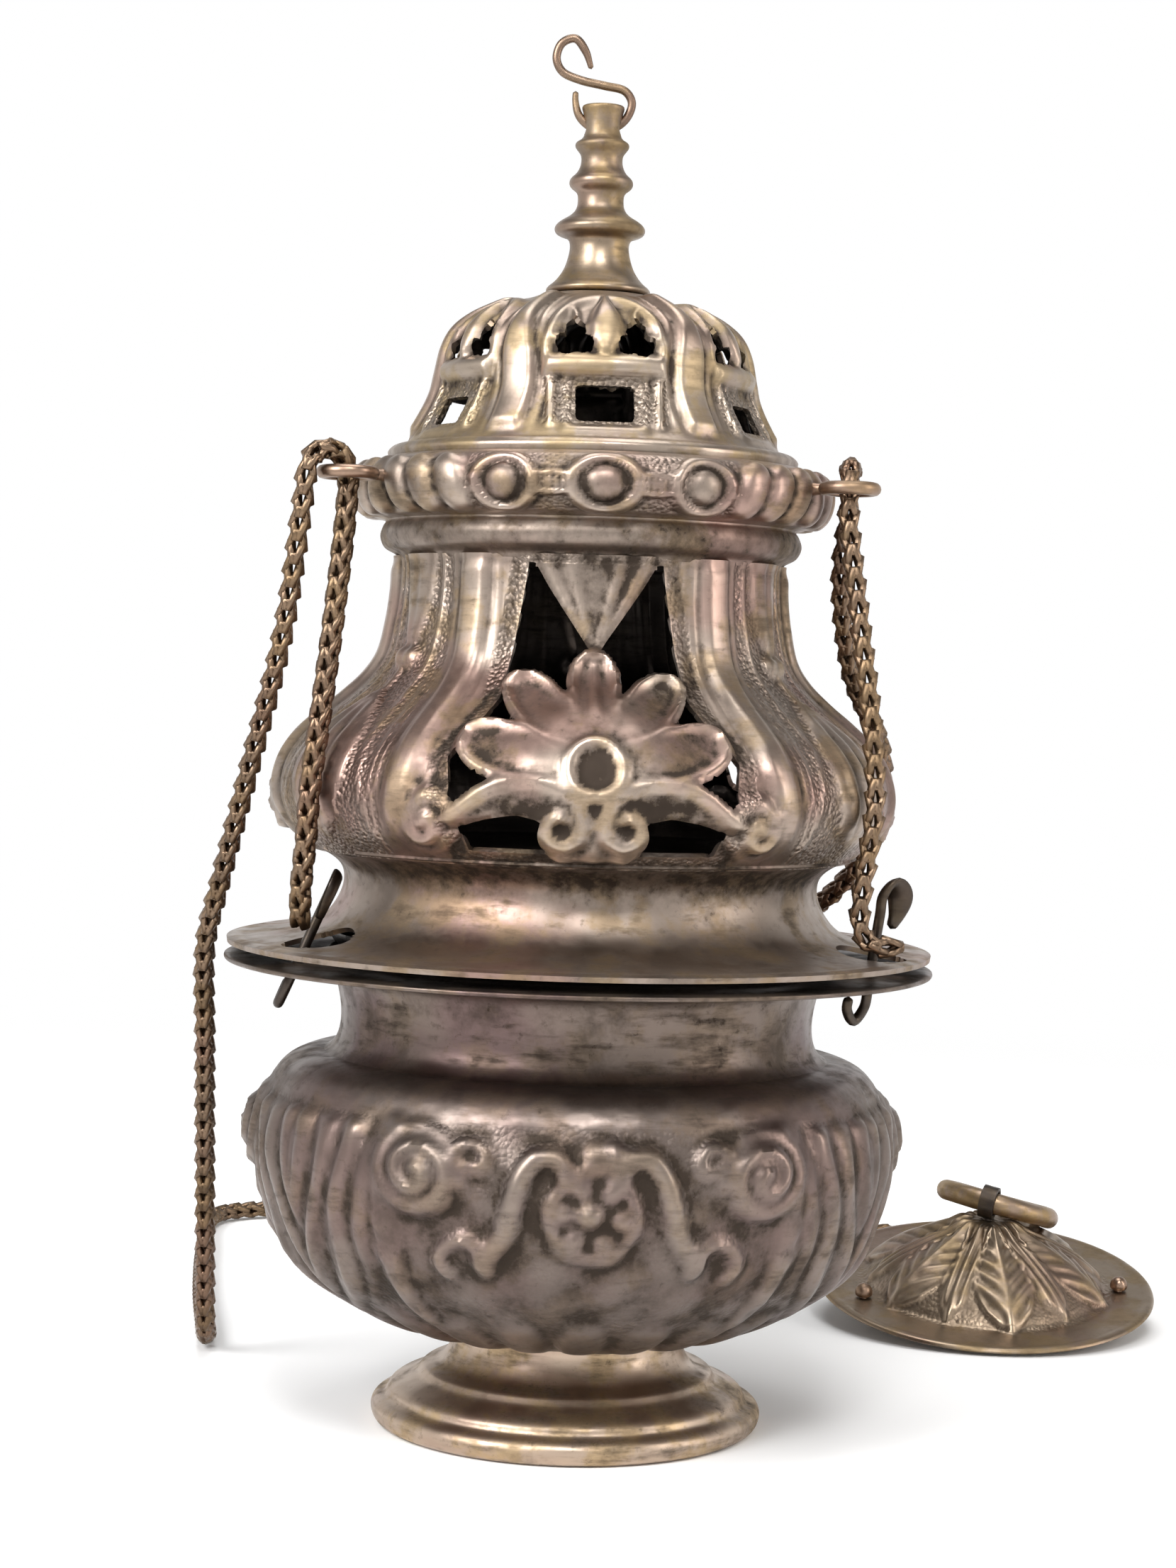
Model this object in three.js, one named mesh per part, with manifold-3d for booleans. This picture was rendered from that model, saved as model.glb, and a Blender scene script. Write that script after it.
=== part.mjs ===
// A baroque thurible: a footed bowl, a pierced cover that slides up three chains, and the hand
// plate that the chains end in. Millimetres, +Z up. The bowl stands upright and its front faces -Y.
// The sheet pieces are raised and chased, the finial is turned and the chains are loop-in-loop wire.

import * as THREE from 'three';
import { mergeVertices } from 'three/addons/utils/BufferGeometryUtils.js';
import Module from 'manifold-3d';

const wasm = await Module();
wasm.setup();

// Sheet, seats and facets
const SHEET = 1.2;
const SEAT_GAP = 0.3;
const TURNED_SIDES = 30;
const INNER_SIDES = 18;

// Foot, spun and hollow
const FOOT_BASE_R = 36.8;
const FOOT_LIP_R = 38.6;
const FOOT_LIP_Z = 3.4;
const FOOT_STEP_R = 35.2;
const FOOT_STEP_Z = 5.6;
const FOOT_SLOPE_R = 29.4;
const FOOT_SLOPE_Z = 9.6;
const FOOT_COVE_R = 24.4;
const FOOT_COVE_Z = 11.8;
const FOOT_NECK_R = 22.5;
const FOOT_HEIGHT = 18.2;
const FOOT_WALL = 1.5;

// Bowl, a raised bulb with chased flutes and scrolls
const BOWL_BASE_R = 25;
const BOWL_BELLY_R = 63.2;
const BOWL_BELLY_RISE = 38.8;
const BOWL_SHOULDER_RISE = 15;
const BOWL_MOUTH_R = 49.5;
const BOWL_TURN = 3.5;
const BOWL_RELIEF = 1.3;
const BOWL_FLUTES = 12;
const BOWL_MEDALLION_R = 8.6;
const BOWL_MEDALLION_DROP = 10.3;

// Bowl collar: plain neck, wide flange and a raised mouth that the cover stands on
const NECK_R = 46.6;
const NECK_WAIST_RISE = 6.5;
const NECK_HEIGHT = 17.7;
const FLANGE_R = 70;
const FLANGE_SHEET = 1.3;
const MOUTH_LIP_R = 49.4;
const MOUTH_LIP_HEIGHT = 1.6;

// Charcoal pan, a loose iron dish
const PAN_FOOT_R = 20;
const PAN_RIM_R = 39.5;
const PAN_HEIGHT = 34;
const PAN_WALL = 1.4;

// Cover collar: flange, hollow neck and the spigot that centres it in the mouth
const COVER_FLANGE_INSET = 0.4;
const COVER_FLANGE_SHEET = 0.9;
const COVER_SLOPE_R = 51.6;
const COVER_SLOPE_RISE = 4.6;
const COVER_NECK_R = 46.8;
const COVER_NECK_RISE = 12.4;
const COVER_COLLAR_HEIGHT = 19.4;
const SPIGOT_DEPTH = 4.5;
const SPIGOT_CLEARANCE = 0.6;

// Pierced belly of the cover
const BELLY_TURN = 2;
const BELLY_FOOT_R = 54.5;
const BELLY_R = 60.6;
const BELLY_WIDEST_RISE = 10.7;
const BELLY_SHOULDER_R = 48.6;
const BELLY_SHOULDER_RISE = 28.5;
const BELLY_WAIST_R = 38.6;
const BELLY_WAIST_RISE = 46;
const BELLY_HEIGHT = 56.9;
const PILASTER_ANGLE = 36.5;
const PILASTER_HALF = 6.2;
const PILASTER_RELIEF = 2.2;

// Windows of the belly, with their palmette, C-scrolls and hanging drop
const WINDOW_COUNT = 3;
const WINDOW_SILL = 1.8;
const WINDOW_HEAD = 54;
const WINDOW_HALF_WIDE = 26.5;
const WINDOW_HALF_NARROW = 12.6;
const PALMETTE_RISE = 17;
const PALMETTE_BOSS_R = 5;
const PALMETTE_DISH_R = 3.2;
const PETAL_LENGTH = 21.6;
const PETAL_HALF = 4.9;
const ORNAMENT_RELIEF = 1.9;
const SCROLL_HALF = 2.3;
const DROP_HALF = 9.6;

// Cornice belt: torus below, egg ovals and lobes above
const BELT_TURN = 3;
const TORUS_R = 41.8;
const TORUS_RISE = 4.1;
const TORUS_HEIGHT = 7;
const BELT_R = 46.6;
const BELT_RISE = 12;
const BELT_HEIGHT = 19;
const BELT_TOP_R = 41.4;
const LOBE_RELIEF = 1.3;
const LOBE_ANGLE = 38.5;
const LOBE_PITCH = 8;
const EGG_ANGLE = 25;
const EGG_HALF_W = 5.4;
const EGG_HALF_H = 5.6;
const EGG_RELIEF = 1.6;

// Dome of the cover
const DOME_TURN = 3.5;
const DOME_FLANGE_INSET = 1.6;
const DOME_FLANGE_HEIGHT = 2.1;
const DOME_WALL_R = 33.6;
const DOME_WALL_RISE = 8.6;
const DOME_SHOULDER_R = 29.4;
const DOME_SHOULDER_RISE = 23.2;
const DOME_TOP_RISE = 33.4;
const DOME_TOP_R = 10.8;
const DOME_RIB_ANGLE = 37.5;
const DOME_RIB_HALF = 9.5;
const DOME_RIB_RELIEF = 1.5;
const DOME_WINDOW_HALF = 5.4;
const DOME_WINDOW_SILL = 5.4;
const DOME_WINDOW_HEIGHT = 7.2;
const HEART_OFFSET = 6.2;
const HEART_HALF = 3.6;

// Finial, turned, with the peg that holds it in the dome
const FINIAL_COLLAR_R = 10.4;
const FINIAL_STEM_R = 5.6;
const FINIAL_RING_R = 8.9;
const FINIAL_RING_RISE = 13;
const FINIAL_NECK_R = 4.3;
const FINIAL_KNOP_R = 6.1;
const FINIAL_KNOP_RISE = 22.4;
const FINIAL_DISC_R = 5.3;
const FINIAL_DISC_RISE = 30;
const FINIAL_HOLE_RISE = 32.9;
const FINIAL_HOLE_R = 1.7;
const FINIAL_CUP_R = 4;
const FINIAL_HEIGHT = 37.2;
const PEG_R = 3;
const PEG_LENGTH = 8;
const PEG_CLEARANCE = 0.3;
const NUT_WIDTH = 9;
const NUT_HEIGHT = 3.4;

// Hook in the finial
const TOP_HOOK_WIRE = 1.5;
const TOP_HOOK_BEND_R = 5.6;

// Chain eyes, flange hooks and chains, each named by its side
const EYE_ANGLES = { left: -57, right: 63, back: 183 };
const EYE_R = 55;
const EYE_RISE = 14.1;
const EYE_RING_R = 4.7;
const EYE_WIRE = 2.6;
const EYE_RIVET_R = 2.6;
const HOOK_ANGLES = { left: -63, right: 68, back: 182 };
const HOOK_TURNS = { left: 22, right: 28, back: 20 };
const HOOK_LEANS = { left: 23, right: -11, back: -6 };
const HOOK_INSET = 10;
const HOOK_WIRE = 2;
const HOOK_CURL_R = 2.3;
const HOOK_RISE = 20;
const HOOK_DROP = 9;
const HOOK_HOLE_R = 1.6;
const SLOT_LONG = 15;
const SLOT_TURNS = { left: 5, right: 0, back: 0 };
const SLOT_INSETS = { left: 2, right: -0.4, back: 0 };
const SLOT_DEEP = 13.4;
const CHAIN_D = 4.4;
const CHAIN_SIDES = 8;
const CHAIN_GAP = 0.4;
const CHAIN_BEND_R = 4.3;
const CHAIN_OVER = { left: -57, right: 174, back: 183 };

// Hand plate with its studs, lug and finger ring
const PLATE_X = 97;
const PLATE_Y = 104;
const PLATE_TILT = 11;
const PLATE_R = 39;
const PLATE_SHEET = 1.4;
const PLATE_DOME_R = 27.5;
const PLATE_DOME_HEIGHT = 16.4;
const PLATE_LEAVES = 12;
const PLATE_LEAF_RELIEF = 1.2;
const STUD_CIRCLE_R = 31;
const STUD_ANGLES = { left: -70, right: 86, back: 188 };
const STUD_BALL_R = 2;
const STUD_SHANK_R = 1.1;
const STUD_EYE_R = 1.7;
const STUD_EYE_WIRE = 1.1;
const STUD_EYE_DROP = 2.95;
const LUG_WALL = 1;
const LUG_LENGTH = 3.4;
const LUG_PEG_R = 1.6;
const LUG_CLEARANCE = 0.4;
const RING_R = 12.2;
const RING_WIRE = 4.8;
const RING_PITCH = 7;
const RING_ROLL = 14;
const RING_LUG_ANGLE = 19;

// Heights of the seats, stacked from the table upwards
const bowlBase = FOOT_HEIGHT + SEAT_GAP;
const bowlBelly = bowlBase + BOWL_BELLY_RISE;
const bowlTop = bowlBelly + BOWL_SHOULDER_RISE;
const neckBase = bowlTop + SEAT_GAP;
const flangeUnder = neckBase + NECK_HEIGHT;
const flangeTop = flangeUnder + FLANGE_SHEET;
const mouthTop = flangeTop + MOUTH_LIP_HEIGHT;
const coverBase = mouthTop + SEAT_GAP;
const bellyBase = coverBase + COVER_COLLAR_HEIGHT + SEAT_GAP;
const beltBase = bellyBase + BELLY_HEIGHT + SEAT_GAP;
const eyeHeight = beltBase + EYE_RISE;
const domeBase = beltBase + BELT_HEIGHT + SEAT_GAP;
const domeTop = domeBase + DOME_TOP_RISE;
const finialBase = domeTop + SEAT_GAP;
const hookHeight = flangeUnder + FLANGE_SHEET / 2;
const hookRadius = FLANGE_R - HOOK_INSET;
const coverFlangeR = FLANGE_R - COVER_FLANGE_INSET;
const domeFlangeR = BELT_TOP_R - DOME_FLANGE_INSET;
const plateHeight = PLATE_R * Math.sin((PLATE_TILT * Math.PI) / 180) + PLATE_SHEET / 2;
const WINDOW_PITCH = 360 / WINDOW_COUNT;

const silver = { color: 0x9d8a78, metalness: 0.9, roughness: 0.4 };
const finishes = {
  foot: new THREE.MeshStandardMaterial({ color: 0xa08a66, metalness: 0.9, roughness: 0.38 }),
  bowl: new THREE.MeshStandardMaterial({ color: 0x75665c, metalness: 0.9, roughness: 0.45 }),
  cover: new THREE.MeshStandardMaterial(silver),
  chain: new THREE.MeshStandardMaterial({ color: 0x6b5443, metalness: 0.9, roughness: 0.4 }),
  iron: new THREE.MeshStandardMaterial({ color: 0x25211f, metalness: 0.6, roughness: 0.7 }),
  plate: new THREE.MeshStandardMaterial({ color: 0x9c8768, metalness: 0.9, roughness: 0.42 }),
};

const rad = THREE.MathUtils.degToRad;
const v2 = (r, z) => new THREE.Vector2(r, z);
const v3 = (x, y, z) => new THREE.Vector3(x, y, z);

// A point at a radius, an angle from the front towards the right, and a height.
function around(radius, degrees, height) {
  return v3(radius * Math.sin(rad(degrees)), -radius * Math.cos(rad(degrees)), height);
}

// Signed angle to the nearest of `count` evenly spaced centres.
function fromNearest(degrees, count, first = 0) {
  const pitch = 360 / count;
  const turn = degrees - first;
  return turn - pitch * Math.round(turn / pitch);
}

// A rounded ridge: 1 in its middle, falling smoothly to 0 at its half width.
function ridge(distance, half) {
  const share = Math.min(Math.abs(distance) / half, 1);
  return (1 - share * share) ** 0.75;
}

// 0 before `from`, 1 after `to`, smooth between.
function fade(value, from, to) {
  return THREE.MathUtils.smoothstep(value, Math.min(from, to), Math.max(from, to));
}

// A quarter of an ellipse in the profile plane, from one end to the other.
function quarter(centreR, centreZ, halfR, halfZ, fromDegrees, toDegrees, steps) {
  const points = [];
  for (let i = 0; i <= steps; i++) {
    const a = rad(fromDegrees + ((toDegrees - fromDegrees) * i) / steps);
    points.push(v2(centreR + halfR * Math.cos(a), centreZ + halfZ * Math.sin(a)));
  }
  return points;
}

// The outer and inner skins of a raised sheet: each skin point with its outward direction.
function sheetSkins(profile, thickness) {
  const last = profile.length - 1;
  const outer = profile.map((p, i) => {
    const along = profile[Math.min(i + 1, last)].clone().sub(profile[Math.max(i - 1, 0)]).normalize();
    return { r: p.x, z: p.y, outR: along.y, outZ: -along.x };
  });
  const inner = outer.map((p, i) => {
    const flat = i === 0 || i === last;
    return v2(p.r - thickness * (flat ? 1 : p.outR), p.z - thickness * (flat ? 0 : p.outZ));
  });
  return { outer, inner };
}

// Columns of a body with three fronts, from those between a front (0) and a side's middle.
function threeFronts(half) {
  const third = [...half, ...half.slice(1, -1).reverse().map((degrees) => WINDOW_PITCH - degrees)];
  return [0, 1, 2].flatMap((k) => third.map((degrees) => degrees + k * WINDOW_PITCH));
}

function evenColumns(count) {
  return Array.from({ length: count }, (_, k) => (360 * k) / count);
}

// A solid of revolution whose skin is pushed outwards by relief(angle, height) and whose columns
// sway by sway(angle, height). Its two ends are closed flat, so a bore is cut afterwards.
function chasedSolid(outer, columns, relief, sway = () => 0) {
  const rows = outer.length;
  const positions = [];
  for (const degrees of columns) {
    for (const p of outer) {
      const push = relief(degrees, p.z);
      const turn = degrees + sway(degrees, p.z);
      positions.push(...around(p.r + p.outR * push, turn, p.z + p.outZ * push).toArray());
    }
  }
  const low = positions.length / 3;
  positions.push(0, 0, outer[0].z, 0, 0, outer[rows - 1].z);
  const index = [];
  for (let j = 0; j < columns.length; j++) {
    const here = j * rows;
    const next = ((j + 1) % columns.length) * rows;
    for (let i = 0; i < rows - 1; i++) {
      index.push(here + i, next + i, next + i + 1, here + i, next + i + 1, here + i + 1);
    }
    index.push(low, next, here, low + 1, here + rows - 1, next + rows - 1);
  }
  const geometry = new THREE.BufferGeometry();
  geometry.setAttribute('position', new THREE.Float32BufferAttribute(positions, 3));
  geometry.setIndex(index);
  return solid(geometry);
}

// A plain turned solid from a profile that starts and ends on the axis, or closes on itself.
function turned(profile, sides) {
  return new THREE.LatheGeometry(profile, sides).rotateX(Math.PI / 2);
}

// The plain bore under a skin, open at both ends: every second point of the inside is enough.
function boreOf(profile, thickness, reach = 1) {
  const { inner } = sheetSkins(profile, thickness);
  const last = inner[inner.length - 1];
  const kept = inner.filter((p, i) => i % 2 === 0 || i === inner.length - 1);
  return solid(turned([
    v2(0, inner[0].y - reach), v2(inner[0].x, inner[0].y - reach), ...kept,
    v2(last.x, last.y + reach), v2(0, last.y + reach),
  ], INNER_SIDES));
}

// Geometry to a solid that can be joined and cut, and back.
function solid(geometry) {
  const bare = new THREE.BufferGeometry();
  bare.setAttribute('position', geometry.getAttribute('position'));
  bare.setIndex(geometry.getIndex());
  const merged = mergeVertices(bare, 1e-4);
  const corners = merged.getIndex().array;
  const kept = [];
  for (let i = 0; i < corners.length; i += 3) {
    const [a, b, c] = corners.slice(i, i + 3);
    if (a !== b && b !== c && c !== a) kept.push(a, b, c);
  }
  const mesh = new wasm.Mesh({
    numProp: 3,
    vertProperties: Float32Array.from(merged.getAttribute('position').array),
    triVerts: Uint32Array.from(kept),
  });
  return new wasm.Manifold(mesh);
}

function geometryOf(manifold) {
  const mesh = manifold.getMesh();
  const geometry = new THREE.BufferGeometry();
  geometry.setAttribute('position', new THREE.BufferAttribute(mesh.vertProperties, 3));
  geometry.setIndex(new THREE.BufferAttribute(mesh.triVerts, 1));
  return geometry;
}

function joined(solids) {
  return solids.reduce((sum, next) => sum.add(next));
}

function piece(name, geometry, finish) {
  const mesh = new THREE.Mesh(geometry, finish);
  mesh.name = name;
  return mesh;
}

// The three copies of a window's worth of ornament or cutters round the body.
function threefold(manifold) {
  const copies = [];
  for (let k = 0; k < WINDOW_COUNT; k++) {
    copies.push(manifold.rotate([0, 0, (360 * k) / WINDOW_COUNT]));
  }
  return joined(copies);
}

// A body turned about the axis, as its maker seated it: positive to the right of the front.
function turnedBy(manifold, degrees) {
  return manifold.rotate([0, 0, degrees]);
}

// A round wire along a smooth path.
function wire(points, diameter, sides, steps) {
  const ring = [];
  for (let i = 0; i < sides; i++) {
    const a = (2 * Math.PI * (i + 0.5)) / sides;
    ring.push(v2((diameter / 2) * Math.cos(a), (diameter / 2) * Math.sin(a)));
  }
  const path = new THREE.CatmullRomCurve3(points, false, 'centripetal');
  return new THREE.ExtrudeGeometry(new THREE.Shape(ring), {
    extrudePath: path, steps, curveSegments: 1,
  });
}

// A flat shape drawn in the front plane (x, z), laid on a round body of radius(z) and given
// thickness from `under` below its skin to `over` above it.
function laidOn(shape, radius, under, over) {
  const geometry = new THREE.ExtrudeGeometry(shape, {
    depth: 1, steps: 1, bevelEnabled: false, curveSegments: 5,
  });
  const place = geometry.getAttribute('position');
  for (let i = 0; i < place.count; i++) {
    const x = place.getX(i);
    const z = place.getY(i);
    const r = radius(z) + (place.getZ(i) > 0.5 ? over : -under);
    place.setXYZ(i, x, -Math.sqrt(Math.max(r * r - x * x, 1)), z);
  }
  return solid(geometry);
}

// The radius of a profile at a height, between its points.
function radiusOf(profile) {
  return (z) => {
    for (let i = 1; i < profile.length; i++) {
      const [a, b] = [profile[i - 1], profile[i]];
      if (z <= b.y && b.y > a.y) return a.x + ((b.x - a.x) * Math.max(z - a.y, 0)) / (b.y - a.y);
    }
    return profile[profile.length - 1].x;
  };
}

// A ribbon of changing width along a smooth line in the front plane.
function ribbon(points, halfStart, halfEnd, steps) {
  const line = new THREE.SplineCurve(points);
  const left = [];
  const right = [];
  for (let i = 0; i <= steps; i++) {
    const t = i / steps;
    const p = line.getPoint(t);
    const across = line.getTangent(t);
    const half = halfStart + (halfEnd - halfStart) * t;
    left.push(v2(p.x - across.y * half, p.y + across.x * half));
    right.push(v2(p.x + across.y * half, p.y - across.x * half));
  }
  return new THREE.Shape([...left, ...right.reverse()]);
}

function foot() {
  const wall = FOOT_WALL;
  const profile = [
    v2(FOOT_BASE_R, 0),
    v2(FOOT_LIP_R, FOOT_LIP_Z - 1),
    v2(FOOT_LIP_R - 0.4, FOOT_LIP_Z),
    v2(FOOT_STEP_R, FOOT_STEP_Z - 0.6),
    v2(FOOT_SLOPE_R, FOOT_SLOPE_Z),
    v2(FOOT_SLOPE_R - 1.2, FOOT_SLOPE_Z + 0.8),
    v2(FOOT_COVE_R, FOOT_COVE_Z),
    v2(FOOT_NECK_R, FOOT_HEIGHT - 1),
    v2(FOOT_NECK_R, FOOT_HEIGHT),
    v2(FOOT_NECK_R - wall, FOOT_HEIGHT),
    v2(FOOT_COVE_R - 2 * wall, FOOT_COVE_Z - wall),
    v2(FOOT_SLOPE_R - wall, FOOT_SLOPE_Z - wall),
    v2(FOOT_BASE_R - 2 * wall, 0),
    v2(FOOT_BASE_R, 0),
  ];
  return piece('foot', turned(profile, TURNED_SIDES - 2), finishes.foot);
}

function bowlProfile() {
  const reach = BOWL_BELLY_R - BOWL_BASE_R;
  const under = quarter(BOWL_BASE_R, bowlBelly, reach, BOWL_BELLY_RISE, -80, 0, 5);
  const shoulder = BOWL_BELLY_R - BOWL_MOUTH_R;
  const over = quarter(BOWL_MOUTH_R, bowlBelly, shoulder, BOWL_SHOULDER_RISE, 0, 90, 3);
  return [v2(BOWL_BASE_R, bowlBase), ...under, ...over.slice(1)];
}

// Flutes sweep up the sides between the three fronts.
function bowlRelief(degrees, z) {
  const side = Math.abs(fromNearest(degrees, WINDOW_COUNT, WINDOW_PITCH / 2));
  const rise = fade(z, bowlBase + 4, bowlBase + 14) * (1 - fade(z, bowlTop - 8, bowlTop - 4));
  const flutes = ridge(fromNearest(degrees, BOWL_FLUTES), 180 / BOWL_FLUTES) * (1 - fade(side, 26, 34));
  return BOWL_RELIEF * rise * flutes;
}

function bowlScroll(side) {
  const z = bowlBelly - BOWL_MEDALLION_DROP + 4;
  return ribbon([
    v2(side * 24, z - 10), v2(side * 20.5, z - 13.5), v2(side * 14.6, z - 6), v2(side * 10.6, z + 6),
    v2(side * 1, z + 13.6),
  ], 1.6, 1.2, 5);
}

function bowlVolute(side) {
  const z = bowlBelly + 1;
  return ribbon([
    v2(side * 20, z + 8), v2(side * 29, z + 10.6), v2(side * 36.4, z + 2), v2(side * 31.5, z - 6),
    v2(side * 29, z + 1),
  ], 1.4, 1.8, 9);
}

// A flower of five petals inside a plain ring.
function bowlMedallion(radius) {
  const z = bowlBelly - BOWL_MEDALLION_DROP + 4;
  const plate = new THREE.Shape();
  plate.absarc(0, z, BOWL_MEDALLION_R, 0, 2 * Math.PI);
  const dish = new THREE.Path();
  dish.absarc(0, z, BOWL_MEDALLION_R - 1.8, 0, 2 * Math.PI, true);
  plate.holes.push(dish);
  const petals = Array.from({ length: 10 }, (_, k) => {
    const a = rad(36 * k + 18);
    const reach = BOWL_MEDALLION_R * (0.5 + 0.2 * Math.sin(5 * a));
    return v2(reach * Math.cos(a), z + reach * Math.sin(a));
  });
  return [
    laidOn(plate, radius, 0.6, BOWL_RELIEF),
    laidOn(new THREE.Shape(petals), radius, 0.6, BOWL_RELIEF),
  ];
}

function bowl() {
  const profile = bowlProfile();
  const { outer } = sheetSkins(profile, SHEET);
  const radius = radiusOf(profile);
  const floor = bowlBase + SHEET;
  const inside = [v2(0, floor), v2(BOWL_BASE_R, floor)];
  for (const p of sheetSkins(profile, SHEET * 1.1).inner.slice(2, -1)) {
    inside.push(v2(p.x, Math.max(p.y, floor + 0.5)));
  }
  inside.push(v2(BOWL_MOUTH_R - SHEET, bowlTop + 1), v2(0, bowlTop + 1));
  const ornament = bowlMedallion(radius);
  for (const side of [-1, 1]) {
    ornament.push(laidOn(bowlScroll(side), radius, 0.6, BOWL_RELIEF));
    ornament.push(laidOn(bowlVolute(side), radius, 0.6, BOWL_RELIEF + 0.4));
  }
  const body = chasedSolid(outer, evenColumns(3 * BOWL_FLUTES), bowlRelief)
    .add(threefold(joined(ornament)))
    .subtract(solid(turned(inside, INNER_SIDES)));
  return piece('bowl', geometryOf(turnedBy(body, BOWL_TURN)), finishes.bowl);
}

function bowlCollar() {
  const wall = SHEET;
  const waist = neckBase + NECK_WAIST_RISE;
  const profile = [
    v2(BOWL_MOUTH_R, neckBase),
    v2(NECK_R + 0.9, neckBase + NECK_WAIST_RISE / 2),
    v2(NECK_R, waist),
    v2(NECK_R + 1.6, flangeUnder - 2.2),
    v2(NECK_R + 4.6, flangeUnder),
    v2(FLANGE_R, flangeUnder + 0.2),
    v2(FLANGE_R, flangeTop - 0.2),
    v2(FLANGE_R - 1, flangeTop),
    v2(MOUTH_LIP_R + 1.6, flangeTop),
    v2(MOUTH_LIP_R, mouthTop),
    v2(NECK_R + 0.9, mouthTop),
    v2(NECK_R + 0.4, flangeTop - 3),
    v2(NECK_R - wall, waist),
    v2(BOWL_MOUTH_R - wall, neckBase),
    v2(BOWL_MOUTH_R, neckBase),
  ];
  const holes = Object.values(HOOK_ANGLES).map((angle) => {
    const hole = new THREE.CylinderGeometry(HOOK_HOLE_R, HOOK_HOLE_R, 3 * FLANGE_SHEET, 10);
    hole.rotateX(Math.PI / 2).translate(...around(hookRadius, angle, hookHeight).toArray());
    return solid(hole);
  });
  const body = solid(turned(profile, TURNED_SIDES)).subtract(joined(holes));
  return piece('bowl_collar', geometryOf(body), finishes.bowl);
}

function charcoalPan() {
  const base = bowlBase + SHEET + SEAT_GAP;
  const rim = base + PAN_HEIGHT;
  const profile = [
    v2(0, base),
    v2(PAN_FOOT_R, base),
    ...quarter(PAN_FOOT_R, rim, PAN_RIM_R - PAN_FOOT_R, PAN_HEIGHT - 1, -70, 0, 3),
    v2(PAN_RIM_R - PAN_WALL, rim),
    ...quarter(PAN_FOOT_R, rim, PAN_RIM_R - PAN_FOOT_R - PAN_WALL, PAN_HEIGHT - 2.6, -6, -70, 2),
    v2(PAN_FOOT_R - PAN_WALL, base + PAN_WALL),
    v2(0, base + PAN_WALL),
  ];
  return piece('charcoal_pan', turned(profile, 20), finishes.iron);
}

function coverCollar() {
  const wall = SHEET;
  const top = coverBase + COVER_COLLAR_HEIGHT;
  const spigotR = NECK_R + 0.4 - SPIGOT_CLEARANCE;
  const profile = [
    v2(spigotR, coverBase - SPIGOT_DEPTH),
    v2(spigotR, coverBase),
    v2(coverFlangeR, coverBase),
    v2(coverFlangeR, coverBase + COVER_FLANGE_SHEET),
    v2((coverFlangeR + COVER_SLOPE_R) / 2, coverBase + COVER_FLANGE_SHEET + 1.2),
    v2(COVER_SLOPE_R, coverBase + COVER_SLOPE_RISE),
    v2(COVER_NECK_R + 1.4, coverBase + (COVER_SLOPE_RISE + COVER_NECK_RISE) / 2),
    v2(COVER_NECK_R, coverBase + COVER_NECK_RISE),
    v2(COVER_NECK_R + 3.4, top - 1.4),
    v2(BELLY_FOOT_R, top),
    v2(BELLY_FOOT_R - 2 * wall, top),
    v2(COVER_NECK_R - wall, top - 4.6),
    v2(COVER_NECK_R - wall, coverBase + COVER_SLOPE_RISE),
    v2(spigotR - wall, coverBase),
    v2(spigotR - wall, coverBase - SPIGOT_DEPTH),
    v2(spigotR, coverBase - SPIGOT_DEPTH),
  ];
  const slots = Object.keys(HOOK_ANGLES).map((side) => {
    const angle = HOOK_ANGLES[side] + SLOT_TURNS[side];
    const slot = new THREE.CylinderGeometry(SLOT_LONG / 2, SLOT_LONG / 2, 12, 10).rotateX(Math.PI / 2);
    slot.scale(1, SLOT_DEEP / SLOT_LONG, 1).rotateZ(rad(angle));
    return solid(slot.translate(...around(hookRadius - SLOT_INSETS[side], angle, coverBase).toArray()));
  });
  const body = solid(turned(profile, TURNED_SIDES)).subtract(joined(slots));
  return piece('cover_collar', geometryOf(body), finishes.cover);
}

function bellyProfile() {
  const at = (r, rise) => v2(r, bellyBase + rise);
  const line = new THREE.SplineCurve([
    at(BELLY_FOOT_R, 0), at((BELLY_FOOT_R + BELLY_R) / 2 + 1.2, 3.4), at(BELLY_R, BELLY_WIDEST_RISE),
    at(BELLY_R - 3.4, 20.4), at(BELLY_SHOULDER_R, BELLY_SHOULDER_RISE),
    at((BELLY_SHOULDER_R + BELLY_WAIST_R) / 2 - 2.2, (BELLY_SHOULDER_RISE + BELLY_WAIST_RISE) / 2 - 1),
    at(BELLY_WAIST_R, BELLY_WAIST_RISE), at(BELLY_WAIST_R - 0.2, BELLY_HEIGHT),
  ]);
  return line.getSpacedPoints(9);
}

// Six S-shaped pilasters, one each side of every window, curling outwards at the foot.
function bellyRelief(degrees, z) {
  const rise = z - bellyBase;
  const side = Math.abs(fromNearest(degrees, WINDOW_COUNT));
  const ends = fade(rise, 2, 7) * (1 - 0.6 * fade(rise, BELLY_HEIGHT - 4, BELLY_HEIGHT));
  return PILASTER_RELIEF * ends * ridge(side - PILASTER_ANGLE, PILASTER_HALF + 2 * fade(rise, 30, 45));
}

function bellySway(degrees, z) {
  const rise = z - bellyBase;
  const side = fromNearest(degrees, WINDOW_COUNT);
  const lean = 4 * fade(rise, 30, 0) - 4.5 * Math.exp(-(((rise - 36) / 10) ** 2));
  return Math.sign(side) * lean * ridge(Math.abs(side) - PILASTER_ANGLE, WINDOW_PITCH / 2 - PILASTER_ANGLE);
}

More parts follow.
